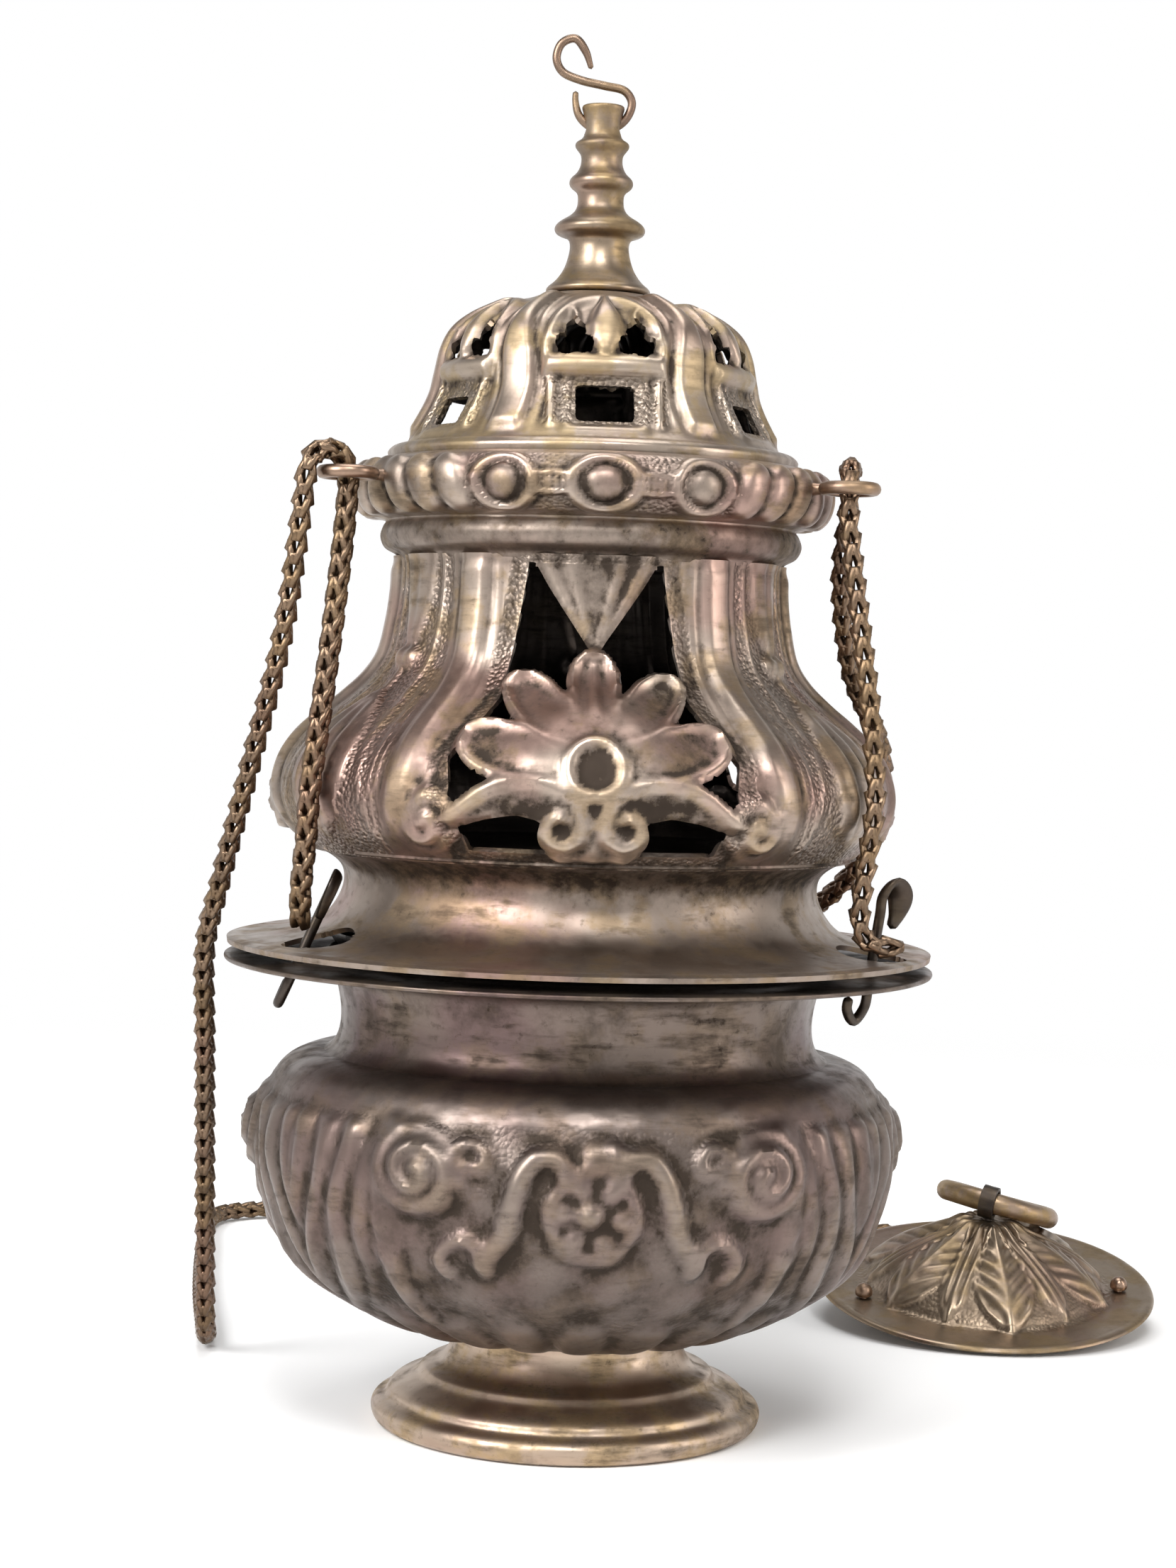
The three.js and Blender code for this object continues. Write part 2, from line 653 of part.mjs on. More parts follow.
function windowCutter() {
  const z = bellyBase;
  const half = [
    v2(WINDOW_HALF_WIDE - 4.5, z + WINDOW_SILL), v2(WINDOW_HALF_WIDE, z + WINDOW_SILL + 7),
    v2(WINDOW_HALF_WIDE, z + WINDOW_SILL + 16), v2(WINDOW_HALF_WIDE - 5, z + 26),
    v2(WINDOW_HALF_NARROW + 2.6, z + 35), v2(WINDOW_HALF_NARROW, z + 47),
    v2(WINDOW_HALF_NARROW, z + WINDOW_HEAD),
  ];
  const other = half.map((p) => v2(-p.x, p.y)).reverse();
  const cutter = new THREE.ExtrudeGeometry(new THREE.Shape([...half, ...other]), {
    depth: BELLY_R, bevelEnabled: false,
  });
  cutter.rotateX(Math.PI / 2).translate(0, -BELLY_WAIST_R * 0.4, 0);
  return solid(cutter);
}

function palmette(radius) {
  const z = bellyBase + PALMETTE_RISE;
  const petals = { 7: 1.15, 59: 0.96, 90: 1, 121: 0.96, 173: 1.15 };
  const parts = Object.entries(petals).map(([degrees, size]) => {
    const [c, s] = [Math.cos(rad(Number(degrees))), Math.sin(rad(Number(degrees)))];
    const at = (along, across) => v2(along * c - across * s, z + along * s + across * c);
    const tip = PETAL_LENGTH * size;
    const half = PETAL_HALF;
    const outline = [
      at(3, -1.6), at(tip * 0.75, -half), at(tip * 0.94, -0.6 * half), at(tip, 0),
      at(tip * 0.94, 0.6 * half), at(tip * 0.75, half), at(3, 1.6),
    ];
    return laidOn(new THREE.Shape(outline), radius, SHEET, ORNAMENT_RELIEF);
  });
  const boss = new THREE.Shape();
  boss.absarc(0, z, PALMETTE_BOSS_R, 0, 2 * Math.PI);
  parts.push(laidOn(boss, radius, SHEET, ORNAMENT_RELIEF + 1));
  const dish = new THREE.Shape();
  dish.absarc(0, z, PALMETTE_DISH_R, 0, 2 * Math.PI);
  return joined(parts).subtract(laidOn(dish, radius, -ORNAMENT_RELIEF, ORNAMENT_RELIEF + 2));
}

function cScroll(radius, side) {
  const z = bellyBase + PALMETTE_RISE;
  const line = [
    v2(side * 30, z - 11), v2(side * 23, z - 5.6), v2(side * 14.5, z - 2.6), v2(side * 6, z - 5.2),
    v2(side * 2.8, z - 11), v2(side * 7, z - 15.8), v2(side * 9.8, z - 11.6),
  ];
  const scroll = ribbon(line, SCROLL_HALF * 0.8, SCROLL_HALF * 0.5, 8);
  return laidOn(scroll, radius, SHEET, ORNAMENT_RELIEF + 0.6);
}

// A leaf drop on each narrow panel, between two pilasters.
function sideLeaf(radius) {
  const z = bellyBase + 2.5;
  const leaf = new THREE.Shape([
    v2(-1.6, z), v2(1.6, z), v2(4.6, z + 8), v2(3.4, z + 15), v2(0, z + 24), v2(-3.4, z + 15),
    v2(-4.6, z + 8),
  ]);
  return laidOn(leaf, radius, 0.6, ORNAMENT_RELIEF).rotate([0, 0, WINDOW_PITCH / 2]);
}

function hangingDrop(radius) {
  const head = bellyBase + WINDOW_HEAD + 1;
  const point = bellyBase + PALMETTE_RISE + PETAL_LENGTH - 1.4;
  const parts = [1, 0.36].map((share) => {
    const half = DROP_HALF * share;
    const end = 1.6 * share;
    const shape = new THREE.Shape([v2(-half, head), v2(-end, point), v2(end, point), v2(half, head)]);
    return laidOn(shape, radius, SHEET, 1.6 - share);
  });
  return joined(parts);
}

function coverBelly() {
  const profile = bellyProfile();
  const radius = radiusOf(profile);
  const p = PILASTER_ANGLE;
  const columns = threeFronts([0, p - 10, p - 4, p, p + 4, p + 10, WINDOW_PITCH / 2]);
  const skin = chasedSolid(sheetSkins(profile, SHEET).outer, columns, bellyRelief, bellySway);
  const wall = skin.add(threefold(sideLeaf(radius))).subtract(boreOf(profile, SHEET));
  const scrolls = [cScroll(radius, -1), cScroll(radius, 1)];
  const ornament = threefold(joined([palmette(radius), ...scrolls, hangingDrop(radius)]));
  const body = wall.subtract(threefold(windowCutter())).add(ornament);
  return piece('cover_belly', geometryOf(turnedBy(body, BELLY_TURN)), finishes.cover);
}

function beltProfile() {
  const z = beltBase;
  return [
    v2(BELLY_WAIST_R, z),
    v2(TORUS_R, z + TORUS_RISE - 1.4),
    v2(TORUS_R, z + TORUS_RISE + 1),
    v2(TORUS_R - 1.6, z + TORUS_HEIGHT - 0.6),
    v2(BELT_R - 2.2, z + TORUS_HEIGHT + 1.2),
    v2(BELT_R, z + BELT_RISE - 1.4),
    v2(BELT_R, z + BELT_RISE + 1),
    v2(BELT_R - 2.2, z + BELT_RISE + 4.8),
    v2(BELT_TOP_R, z + BELT_HEIGHT),
  ];
}

// Gadroon lobes between the groups of ovals, left plain beside the chain eyes.
function beltRelief(degrees, z) {
  const rise = z - beltBase - TORUS_HEIGHT;
  const side = Math.abs(fromNearest(degrees, WINDOW_COUNT));
  const lobe = ridge(side - LOBE_ANGLE, 4) + ridge(side - LOBE_ANGLE - LOBE_PITCH, 4);
  return LOBE_RELIEF * ridge(rise - 5, 6) * lobe;
}

function eggs(radius) {
  const z = beltBase + BELT_RISE;
  const parts = [-EGG_ANGLE, 0, EGG_ANGLE].map((degrees) => {
    const egg = new THREE.SphereGeometry(1, 8, 4).rotateX(Math.PI / 2);
    egg.scale(EGG_HALF_W, EGG_RELIEF * 1.6, EGG_HALF_H).rotateZ(rad(degrees));
    return solid(egg.translate(...around(radius(z) - 0.6, degrees, z).toArray()));
  });
  const bars = [-EGG_ANGLE / 2, EGG_ANGLE / 2].map((degrees) => {
    const bar = new THREE.BoxGeometry(5.4, 2.4, 2.6).rotateZ(rad(degrees));
    return solid(bar.translate(...around(radius(z) - 0.3, degrees, z).toArray()));
  });
  return threefold(joined([...parts, ...bars]));
}

function corniceBelt() {
  const profile = beltProfile();
  const a = LOBE_ANGLE;
  const columns = threeFronts([0, EGG_ANGLE, a - 4, a, a + 4, a + 8, a + 12, WINDOW_PITCH / 2]);
  const skin = chasedSolid(sheetSkins(profile, SHEET).outer, columns, beltRelief);
  const body = turnedBy(skin.add(eggs(radiusOf(profile))), BELT_TURN);
  const inner = BELT_R - SHEET * 1.5;
  const bore = [
    v2(0, beltBase - 1), v2(BELLY_WAIST_R - SHEET, beltBase - 1), v2(BELLY_WAIST_R - SHEET, beltBase + 1),
    v2(TORUS_R - 2.6, beltBase + TORUS_HEIGHT), v2(inner, beltBase + BELT_RISE - 1),
    v2(inner - 2, beltBase + BELT_HEIGHT - 2.2), v2(BELT_TOP_R - SHEET, beltBase + BELT_HEIGHT - 0.6),
    v2(BELT_TOP_R - SHEET, beltBase + BELT_HEIGHT + 1), v2(0, beltBase + BELT_HEIGHT + 1),
  ];
  const holes = Object.values(EYE_ANGLES).map((angle) => {
    const hole = new THREE.CylinderGeometry(EYE_WIRE / 2 + SEAT_GAP, EYE_WIRE / 2 + SEAT_GAP, 20, 8);
    hole.rotateZ(rad(angle)).translate(...around(BELT_R, angle, eyeHeight).toArray());
    return solid(hole);
  });
  const open = body.subtract(solid(turned(bore, INNER_SIDES))).subtract(joined(holes));
  return piece('cornice_belt', geometryOf(open), finishes.cover);
}

// A chain eye: a wire ring lying level, with a shank through the belt and a riveted end inside.
function chainEye(side) {
  const ring = new THREE.TorusGeometry(EYE_RING_R, EYE_WIRE / 2, 5, 12);
  const inside = BELT_R - SHEET * 1.5 - 3.2;
  const length = EYE_R - EYE_RING_R - inside;
  const shank = new THREE.CylinderGeometry(EYE_WIRE / 2 - 0.1, EYE_WIRE / 2 - 0.1, length, 6);
  shank.translate(0, EYE_RING_R + length / 2, 0);
  const rivet = new THREE.CylinderGeometry(EYE_RIVET_R, EYE_RIVET_R, 1.2, 6);
  rivet.translate(0, EYE_RING_R + length, 0);
  const body = geometryOf(joined([solid(ring), solid(shank), solid(rivet)]));
  const angle = EYE_ANGLES[side];
  body.rotateZ(rad(angle)).translate(...around(EYE_R, angle, eyeHeight).toArray());
  return piece(`chain_eye_${side}`, body, finishes.chain);
}

function domeProfile() {
  const z = domeBase;
  const wall = new THREE.SplineCurve([
    v2(DOME_WALL_R + 2.6, z + DOME_FLANGE_HEIGHT + 2.4),
    v2(DOME_WALL_R, z + DOME_WALL_RISE),
    v2(DOME_WALL_R - 2.6, z + (DOME_WALL_RISE + DOME_SHOULDER_RISE) / 2),
    v2(DOME_SHOULDER_R, z + DOME_SHOULDER_RISE),
    v2(DOME_SHOULDER_R - 4.6, z + DOME_SHOULDER_RISE + 4.6),
    v2(DOME_TOP_R + 5.4, z + DOME_TOP_RISE - 2),
    v2(DOME_TOP_R, z + DOME_TOP_RISE),
  ]);
  return [
    v2(domeFlangeR, z),
    v2(domeFlangeR, z + DOME_FLANGE_HEIGHT - 0.6),
    v2(domeFlangeR - 1.2, z + DOME_FLANGE_HEIGHT),
    ...wall.getPoints(7),
  ];
}

function domeRelief(degrees, z) {
  const rise = z - domeBase;
  const side = Math.abs(fromNearest(degrees, WINDOW_COUNT));
  const ends = fade(rise, 3, 7) * (1 - fade(rise, DOME_TOP_RISE - 5, DOME_TOP_RISE));
  return DOME_RIB_RELIEF * ends * ridge(side - DOME_RIB_ANGLE, DOME_RIB_HALF);
}

// A cutter for openings drawn in the front plane, pushed through one side of the dome.
function domeCutter(shapes) {
  return joined(shapes.map((points) => {
    const cutter = new THREE.ExtrudeGeometry(new THREE.Shape(points), {
      depth: domeFlangeR, bevelEnabled: false,
    });
    return solid(cutter.rotateX(Math.PI / 2).translate(0, -DOME_TOP_R, 0));
  }));
}

// A wide panel's openings: a window below its lintel and a pair of hearts above.
function wideOpenings() {
  const sill = domeBase + DOME_WINDOW_SILL;
  const head = sill + DOME_WINDOW_HEIGHT;
  const w = DOME_WINDOW_HALF;
  const low = domeBase + DOME_SHOULDER_RISE - 3.4;
  const shapes = [[
    v2(-w, sill), v2(w, sill), v2(w, head - 1.2), v2(w - 1.4, head), v2(1.4 - w, head),
    v2(-w, head - 1.2),
  ]];
  for (const side of [-1, 1]) {
    const x = side * HEART_OFFSET;
    shapes.push([
      v2(x - HEART_HALF, low), v2(x + HEART_HALF, low), v2(x + HEART_HALF * 0.9, low + 2.6),
      v2(x, low + 6.4), v2(x - HEART_HALF * 0.9, low + 2.6),
    ]);
  }
  return domeCutter(shapes);
}

// A narrow panel's openings: a slit and a tear above it.
function narrowOpenings() {
  const sill = domeBase + DOME_WINDOW_SILL;
  const head = sill + DOME_WINDOW_HEIGHT;
  const low = domeBase + DOME_SHOULDER_RISE - 3.4;
  const slit = [v2(-2.4, sill), v2(2.4, sill), v2(2, head), v2(-2, head)];
  const tear = [v2(-2.8, low), v2(2.8, low), v2(0, low + 6.4)];
  return domeCutter([slit, tear]).rotate([0, 0, WINDOW_PITCH / 2]);
}

function coverDome() {
  const profile = domeProfile();
  const { outer, inner } = sheetSkins(profile, SHEET);
  const under = domeTop - SHEET;
  const mouth = domeFlangeR - 4;
  const core = [v2(0, domeBase - 1), v2(mouth, domeBase - 1), v2(mouth, domeBase + 1)];
  for (const p of inner.slice(4, -1).filter((_, i) => i % 2 === 0)) {
    core.push(v2(p.x, Math.min(p.y, under - 0.1)));
  }
  core.push(v2(DOME_TOP_R - 1, under), v2(0, under));
  const peg = solid(new THREE.CylinderGeometry(PEG_R + PEG_CLEARANCE, PEG_R + PEG_CLEARANCE, 12, 12)
    .rotateX(Math.PI / 2).translate(0, 0, domeTop));
  const a = DOME_RIB_ANGLE;
  const half = DOME_RIB_HALF;
  const columns = threeFronts([0, 14, a - half, a - 5, a, a + 5, a + half, WINDOW_PITCH / 2]);
  const body = chasedSolid(outer, columns, domeRelief)
    .subtract(solid(turned(core, INNER_SIDES)))
    .subtract(threefold(wideOpenings()))
    .subtract(threefold(narrowOpenings()))
    .subtract(peg);
  return piece('cover_dome', geometryOf(turnedBy(body, DOME_TURN)), finishes.cover);
}

function finial() {
  const z = finialBase;
  const profile = [
    v2(0, z - PEG_LENGTH),
    v2(PEG_R, z - PEG_LENGTH),
    v2(PEG_R, z),
    v2(FINIAL_COLLAR_R, z),
    v2(FINIAL_COLLAR_R, z + 1),
    v2(FINIAL_STEM_R + 1.4, z + 4.4),
    v2(FINIAL_STEM_R, z + 8),
    v2(FINIAL_STEM_R + 0.4, z + FINIAL_RING_RISE - 2.6),
    v2(FINIAL_RING_R, z + FINIAL_RING_RISE - 0.8),
    v2(FINIAL_RING_R, z + FINIAL_RING_RISE + 0.8),
    v2(FINIAL_NECK_R + 0.6, z + FINIAL_RING_RISE + 2.6),
    v2(FINIAL_NECK_R, z + FINIAL_KNOP_RISE - 3.6),
    v2(FINIAL_KNOP_R, z + FINIAL_KNOP_RISE - 0.8),
    v2(FINIAL_KNOP_R, z + FINIAL_KNOP_RISE + 0.8),
    v2(FINIAL_NECK_R, z + FINIAL_KNOP_RISE + 3),
    v2(FINIAL_NECK_R + 0.2, z + FINIAL_DISC_RISE - 1.4),
    v2(FINIAL_DISC_R, z + FINIAL_DISC_RISE - 0.7),
    v2(FINIAL_DISC_R, z + FINIAL_DISC_RISE + 0.3),
    v2(FINIAL_CUP_R - 0.8, z + FINIAL_DISC_RISE + 1),
    v2(FINIAL_CUP_R - 0.8, z + FINIAL_HOLE_RISE + 1.8),
    v2(FINIAL_CUP_R, z + FINIAL_HEIGHT - 1.2),
    v2(FINIAL_CUP_R - 0.6, z + FINIAL_HEIGHT),
    v2(0, z + FINIAL_HEIGHT),
  ];
  const hole = new THREE.CylinderGeometry(FINIAL_HOLE_R, FINIAL_HOLE_R, 3 * FINIAL_CUP_R, 8);
  hole.rotateZ(Math.PI / 2).translate(0, 0, z + FINIAL_HOLE_RISE);
  return piece('finial', geometryOf(solid(turned(profile, 14)).subtract(solid(hole))), finishes.cover);
}

// A square nut on the peg, tight under the top of the dome.
function finialNut() {
  const nut = new THREE.BoxGeometry(NUT_WIDTH, NUT_WIDTH, NUT_HEIGHT);
  nut.translate(0, 0, domeTop - SHEET - SEAT_GAP - NUT_HEIGHT / 2);
  const bore = new THREE.CylinderGeometry(PEG_R + PEG_CLEARANCE, PEG_R + PEG_CLEARANCE, 20, 12);
  bore.rotateX(Math.PI / 2).translate(0, 0, domeTop);
  return piece('finial_nut', geometryOf(solid(nut).subtract(solid(bore))), finishes.iron);
}

// The finial's S-hook: a tail, a bend through the cross hole, and an open curl above.
function finialHook() {
  const z = finialBase + FINIAL_HOLE_RISE - 0.3;
  const bend = TOP_HOOK_BEND_R;
  const path = [v3(-bend, 0, z + 7.6)];
  for (let i = 0; i <= 6; i++) {
    const a = rad(180 + 30 * i);
    path.push(v3(bend * Math.cos(a), 0, z + bend + bend * Math.sin(a)));
  }
  path.push(
    v3(4.2, 0, z + 7.8), v3(0, 0, z + 8.8), v3(-4.8, 0, z + 9.8), v3(-8.4, 0, z + 11.4),
    v3(-9.6, 0, z + 14), v3(-8.6, 0, z + 17), v3(-6, 0, z + 18), v3(-3.9, 0, z + 15.6),
    v3(-2.6, 0, z + 12),
  );
  return piece('finial_hook', wire(path, TOP_HOOK_WIRE, 6, 22), finishes.chain);
}

// A point of a flange hook: x along its own plane, z up its leaning stem from the flange hole.
function hookPoint(side, x, z) {
  const angle = rad(HOOK_ANGLES[side] - HOOK_TURNS[side]);
  const lean = rad(HOOK_LEANS[side]);
  const point = around(hookRadius, HOOK_ANGLES[side], hookHeight);
  const along = v3(Math.cos(angle), Math.sin(angle), 0);
  const up = v3(-Math.sin(angle) * Math.sin(lean), Math.cos(angle) * Math.sin(lean), Math.cos(lean));
  return point.addScaledVector(along, x).addScaledVector(up, z);
}

// A flange hook: a curl below the bowl's flange and the opposite curl above the cover's.
function flangeHook(side) {
  const c = HOOK_CURL_R;
  const top = HOOK_RISE - HOOK_WIRE / 2;
  const low = HOOK_WIRE / 2 - HOOK_DROP;
  const path = [
    [-2 * c, low + 5], [-2 * c, low + 2.4], [-c, low], [0, low + 2.6], [0, 0], [0, top - 6],
    [0, top - 2.4], [c, top], [2 * c, top - 2.4], [2 * c, top - 6], [1.5 * c, top - 9],
  ].map(([x, z]) => hookPoint(side, x, z));
  return piece(`flange_hook_${side}`, wire(path, HOOK_WIRE, 6, 14), finishes.iron);
}

// A chain is drawn as a plain round body whose rings stand at its route's own points, so they
// are close together in the bends and far apart on the straights.
class Route extends THREE.CatmullRomCurve3 {
  getPointAt(share, target) {
    return this.getPoint(share, target);
  }

  getTangentAt(share, target) {
    return this.getTangent(share, target);
  }
}

function chainLength(name, points) {
  const path = new Route(points, false, 'centripetal');
  const ring = Array.from({ length: CHAIN_SIDES }, (_, i) => {
    const a = (2 * Math.PI * (i + 0.5)) / CHAIN_SIDES;
    return v2((CHAIN_D / 2) * Math.cos(a), (CHAIN_D / 2) * Math.sin(a));
  });
  const geometry = new THREE.ExtrudeGeometry(new THREE.Shape(ring), {
    extrudePath: path, steps: points.length - 1, curveSegments: 1,
  });
  return piece(name, geometry, finishes.chain);
}

// The guide of each chain: from the flange hook's stem up through its eye and over the eye's wire.
const GUIDES = {
  left: [[-52.4, -32.4, 98.6], [-52.2, -35, 106], [-51.2, -38, 116], [-50.7, -38.9, 125],
    [-49.4, -37, 138], [-47.6, -33.4, 158]],
  right: [[60.5, -30, 98.2], [57, -32, 98.2], [54.2, -32.2, 99], [52.8, -31.8, 102], [53, -32, 109],
    [54.2, -32.6, 118], [54.9, -32.4, 126], [54, -30.6, 140], [51.4, -27.2, 160]],
  back: [[3, 63.4, 98.7], [3, 64.2, 110], [2, 64.6, 124], [0.6, 62.2, 139], [-1.2, 58, 158]],
};

// The fall of each chain: from the eye to the table, the right one over the cover's flange.
const FALLS = {
  left: [[-57.7, -27, 154.5], [-64.1, -18, 129.3], [-71, -6, 104.4], [-74.4, 2, 92],
    [-75.2, 12, 72], [-76.2, 27, 41], [-76.9, 38, 18], [-77.3, 43.4, 8.4], [-77.8, 50, 3.6],
    [-78.8, 58, 2.5]],
  right: [[49.2, -9, 168], [52.6, 2, 150], [60.6, 17.5, 134], [61.6, 25.2, 122], [58.2, 34, 110],
    [52, 41.5, 101.5], [46.4, 49, 98], [43, 55.5, 97], [40.6, 61, 94], [38, 67, 86], [30, 77, 68],
    [16, 95, 30], [10.4, 103, 12], [7.6, 109, 5], [6.3, 117, 2.5]],
  back: [[-5, 66.5, 160], [-8, 70.2, 130], [-12, 74, 100], [-17, 78, 82], [-31, 91, 38],
    [-38.6, 100, 18], [-43, 106, 8], [-46.6, 113, 3.4], [-50, 121, 2.5]],
};

// The rest of each chain: the spare laid out on the table, ending under the hand plate.
const RESTS = {
  left: [[-80.2, 67, 2.5], [-84, 92, 2.5], [-88.6, 128, 2.5], [-92, 160, 2.5],
    [-94.6, 184, 2.5], [-92, 199, 2.5], [-79, 207.5, 2.5], [-50, 209, 2.5], [10, 208.5, 2.5],
    [50, 207, 2.5], [78, 202, 2.5], [101, 187, 2.5], [117, 168, 2.5], [126.5, 148, 2.5],
    [129.8, 127, 2.6], [129, 113, 4], [128.2, 105.3, 4.8]],
  right: [[6, 126, 2.5], [6, 158, 2.5], [9.4, 167, 2.5], [17.5, 170.5, 2.5], [25.6, 167, 2.5],
    [29, 158, 2.5], [29, 143, 2.5], [32.4, 134.4, 2.5], [40.5, 131, 2.5], [48.6, 134.4, 2.5],
    [52, 143, 2.5], [52, 158, 2.5], [55.6, 167, 2.5], [64, 170.5, 2.5], [72.6, 167, 2.5],
    [76, 158, 2.5], [75.5, 138, 2.5], [72.5, 115, 2.6], [68.4, 97.2, 3.2]],
  back: [[-52, 130, 2.5], [-52.6, 158, 2.5], [-49.8, 167, 2.5], [-42.6, 170.5, 2.5],
    [-35.6, 167, 2.5], [-33, 158, 2.5], [-32, 143, 2.5], [-27.6, 135, 2.5], [-20.6, 135, 2.5],
    [-16.6, 143, 2.5], [-16, 164, 2.5], [-12, 181, 2.5], [-3, 189, 2.5], [12, 190.5, 2.5],
    [58, 190, 2.5], [76, 185, 2.5], [86, 172, 2.8], [91, 155, 6.5], [92.6, 138, 11]],
};

// The three lengths of one chain, end to end with a small gap between their faces.
function chain(side) {
  const [guide, fall, rest] = [GUIDES, FALLS, RESTS].map((set) => set[side].map((point) => v3(...point)));
  const eye = around(EYE_R, EYE_ANGLES[side], eyeHeight);
  const over = around(CHAIN_BEND_R, CHAIN_OVER[side], 0);
  guide.push(eye.clone().add(v3(0, 0, -5)));
  for (const degrees of [0, 45, 90, 135, 180]) {
    const reach = 1 - Math.cos(rad(degrees));
    const rise = CHAIN_BEND_R * Math.sin(rad(degrees));
    guide.push(eye.clone().addScaledVector(over, reach).add(v3(0, 0, rise)));
  }
  const shoulder = guide[guide.length - 1];
  const down = fall[0].clone().sub(shoulder).normalize();
  guide.push(shoulder.clone().addScaledVector(down, 5));
  fall.unshift(shoulder.clone().addScaledVector(down, 5 + CHAIN_GAP));
  const away = rest[1].clone().sub(rest[0]).normalize();
  fall.push(rest[0].clone().addScaledVector(away, -CHAIN_GAP));
  return [
    chainLength(`chain_${side}_guide`, guide),
    chainLength(`chain_${side}_fall`, fall),
    chainLength(`chain_${side}_rest`, rest),
  ];
}

// Everything of the hand plate is made lying flat about its own middle, then tipped on its
// front edge towards the front, as it leans on its studs and the chains' ends.
function placedOnPlate(geometry) {
  const tilt = rad(PLATE_TILT);
  return geometry.rotateX(tilt).translate(PLATE_X, PLATE_Y, plateHeight);
}

function plateRelief(degrees, z) {
  const rise = fade(z, PLATE_SHEET, 4) * (1 - fade(z, PLATE_DOME_HEIGHT - 3, PLATE_DOME_HEIGHT));
  return PLATE_LEAF_RELIEF * rise * ridge(fromNearest(degrees, PLATE_LEAVES), 180 / PLATE_LEAVES);
}

function handPlate() {
  const top = PLATE_SHEET / 2;
  const base = PLATE_DOME_R;
  const profile = [
    v2(PLATE_R, -top), v2(PLATE_R, top), v2(base + 0.5, top), v2(base - 1.5, 3), v2(base * 0.78, 6.4),
    v2(base * 0.52, 10.4), v2(base * 0.24, PLATE_DOME_HEIGHT - 1.8), v2(base * 0.1, PLATE_DOME_HEIGHT),
  ];
  const skin = profile.map((p, i) => ({ r: p.x, z: p.y, outR: i > 2 ? 0.6 : 0, outZ: i > 2 ? 0.8 : 0 }));
  const under = [
    v2(0, -3), v2(base - 2, -3), v2(base - 2, 0), v2(base * 0.72, 4.8), v2(base * 0.46, 8.8),
    v2(base * 0.2, PLATE_DOME_HEIGHT - 3.4), v2(0, PLATE_DOME_HEIGHT - 3),
  ];
  const peg = LUG_PEG_R + SEAT_GAP;
  const holes = Object.values(STUD_ANGLES).map((angle) => {
    const hole = new THREE.CylinderGeometry(STUD_SHANK_R + SEAT_GAP, STUD_SHANK_R + SEAT_GAP, 6, 8);
    return solid(hole.rotateX(Math.PI / 2).translate(...around(STUD_CIRCLE_R, angle, 0).toArray()));
  });
  holes.push(solid(new THREE.CylinderGeometry(peg, peg, 20, 8).rotateX(Math.PI / 2).translate(0, 0, 14)));
  const body = chasedSolid(skin, evenColumns(3 * PLATE_LEAVES), plateRelief)
    .subtract(solid(turned(under, INNER_SIDES)))
    .subtract(joined(holes));
  return piece('hand_plate', placedOnPlate(geometryOf(body)), finishes.plate);
}

// A chain stud: a ball above the plate, a shank through it and a small eye below.
function plateStud(side) {
  const reach = PLATE_SHEET / 2 + STUD_BALL_R * 0.7;
  const ball = new THREE.SphereGeometry(STUD_BALL_R, 6, 4).translate(0, 0, reach);
  const low = STUD_EYE_R - STUD_EYE_DROP;
  const shank = new THREE.CylinderGeometry(STUD_SHANK_R, STUD_SHANK_R, reach - low, 6);
  shank.rotateX(Math.PI / 2).translate(0, 0, (reach + low) / 2);
  const eye = new THREE.TorusGeometry(STUD_EYE_R, STUD_EYE_WIRE / 2, 4, 7);
  eye.rotateX(Math.PI / 2).translate(0, 0, -STUD_EYE_DROP);
  const cut = new THREE.BoxGeometry(8, 8, 2).translate(0, 0, PLATE_SHEET / 2 + SEAT_GAP - 1);
  const head = solid(ball).subtract(solid(cut));
  const body = geometryOf(joined([head, solid(shank), solid(eye)]));
  body.translate(...around(STUD_CIRCLE_R, STUD_ANGLES[side], 0).toArray());
  return piece(`plate_stud_${side}`, placedOnPlate(body), finishes.plate);
}

const lugBore = RING_WIRE / 2 + LUG_CLEARANCE;
const lugRise = PLATE_DOME_HEIGHT + SEAT_GAP + LUG_WALL + lugBore;

// Turns a geometry made level at the lug the way the finger ring lies: back and to the right,
// with the lug a little left of the ring's front.
function lyingInLug(geometry) {
  const lug = v3(0, 0, lugRise).applyAxisAngle(v3(1, 0, 0), rad(PLATE_TILT));
  geometry.rotateZ(rad(-RING_LUG_ANGLE)).rotateX(rad(-RING_PITCH)).rotateY(rad(RING_ROLL));
  return geometry.translate(PLATE_X + lug.x, PLATE_Y + lug.y, plateHeight + lug.z);
}

// The lug: a short sleeve round the finger ring's wire, pegged through the plate's dome.
function plateLug() {
  const sleeve = new THREE.CylinderGeometry(lugBore + LUG_WALL, lugBore + LUG_WALL, LUG_LENGTH, 12);
  const bore = new THREE.CylinderGeometry(lugBore, lugBore, 2 * LUG_LENGTH, 12);
  const peg = new THREE.CylinderGeometry(LUG_PEG_R, LUG_PEG_R, 5.4, 8).rotateX(Math.PI / 2);
  peg.translate(0, 0, lugRise - lugBore - 3.1);
  const body = solid(lyingInLug(sleeve.rotateZ(Math.PI / 2))).add(solid(placedOnPlate(peg)))
    .subtract(solid(lyingInLug(bore.rotateZ(Math.PI / 2))));
  return piece('plate_lug', geometryOf(body), finishes.chain);
}

function plateRing() {
  const ring = new THREE.TorusGeometry(RING_R, RING_WIRE / 2, 7, 18).rotateZ(-Math.PI / 2);
  return piece('plate_ring', lyingInLug(ring.translate(0, RING_R, 0)), finishes.chain);
}

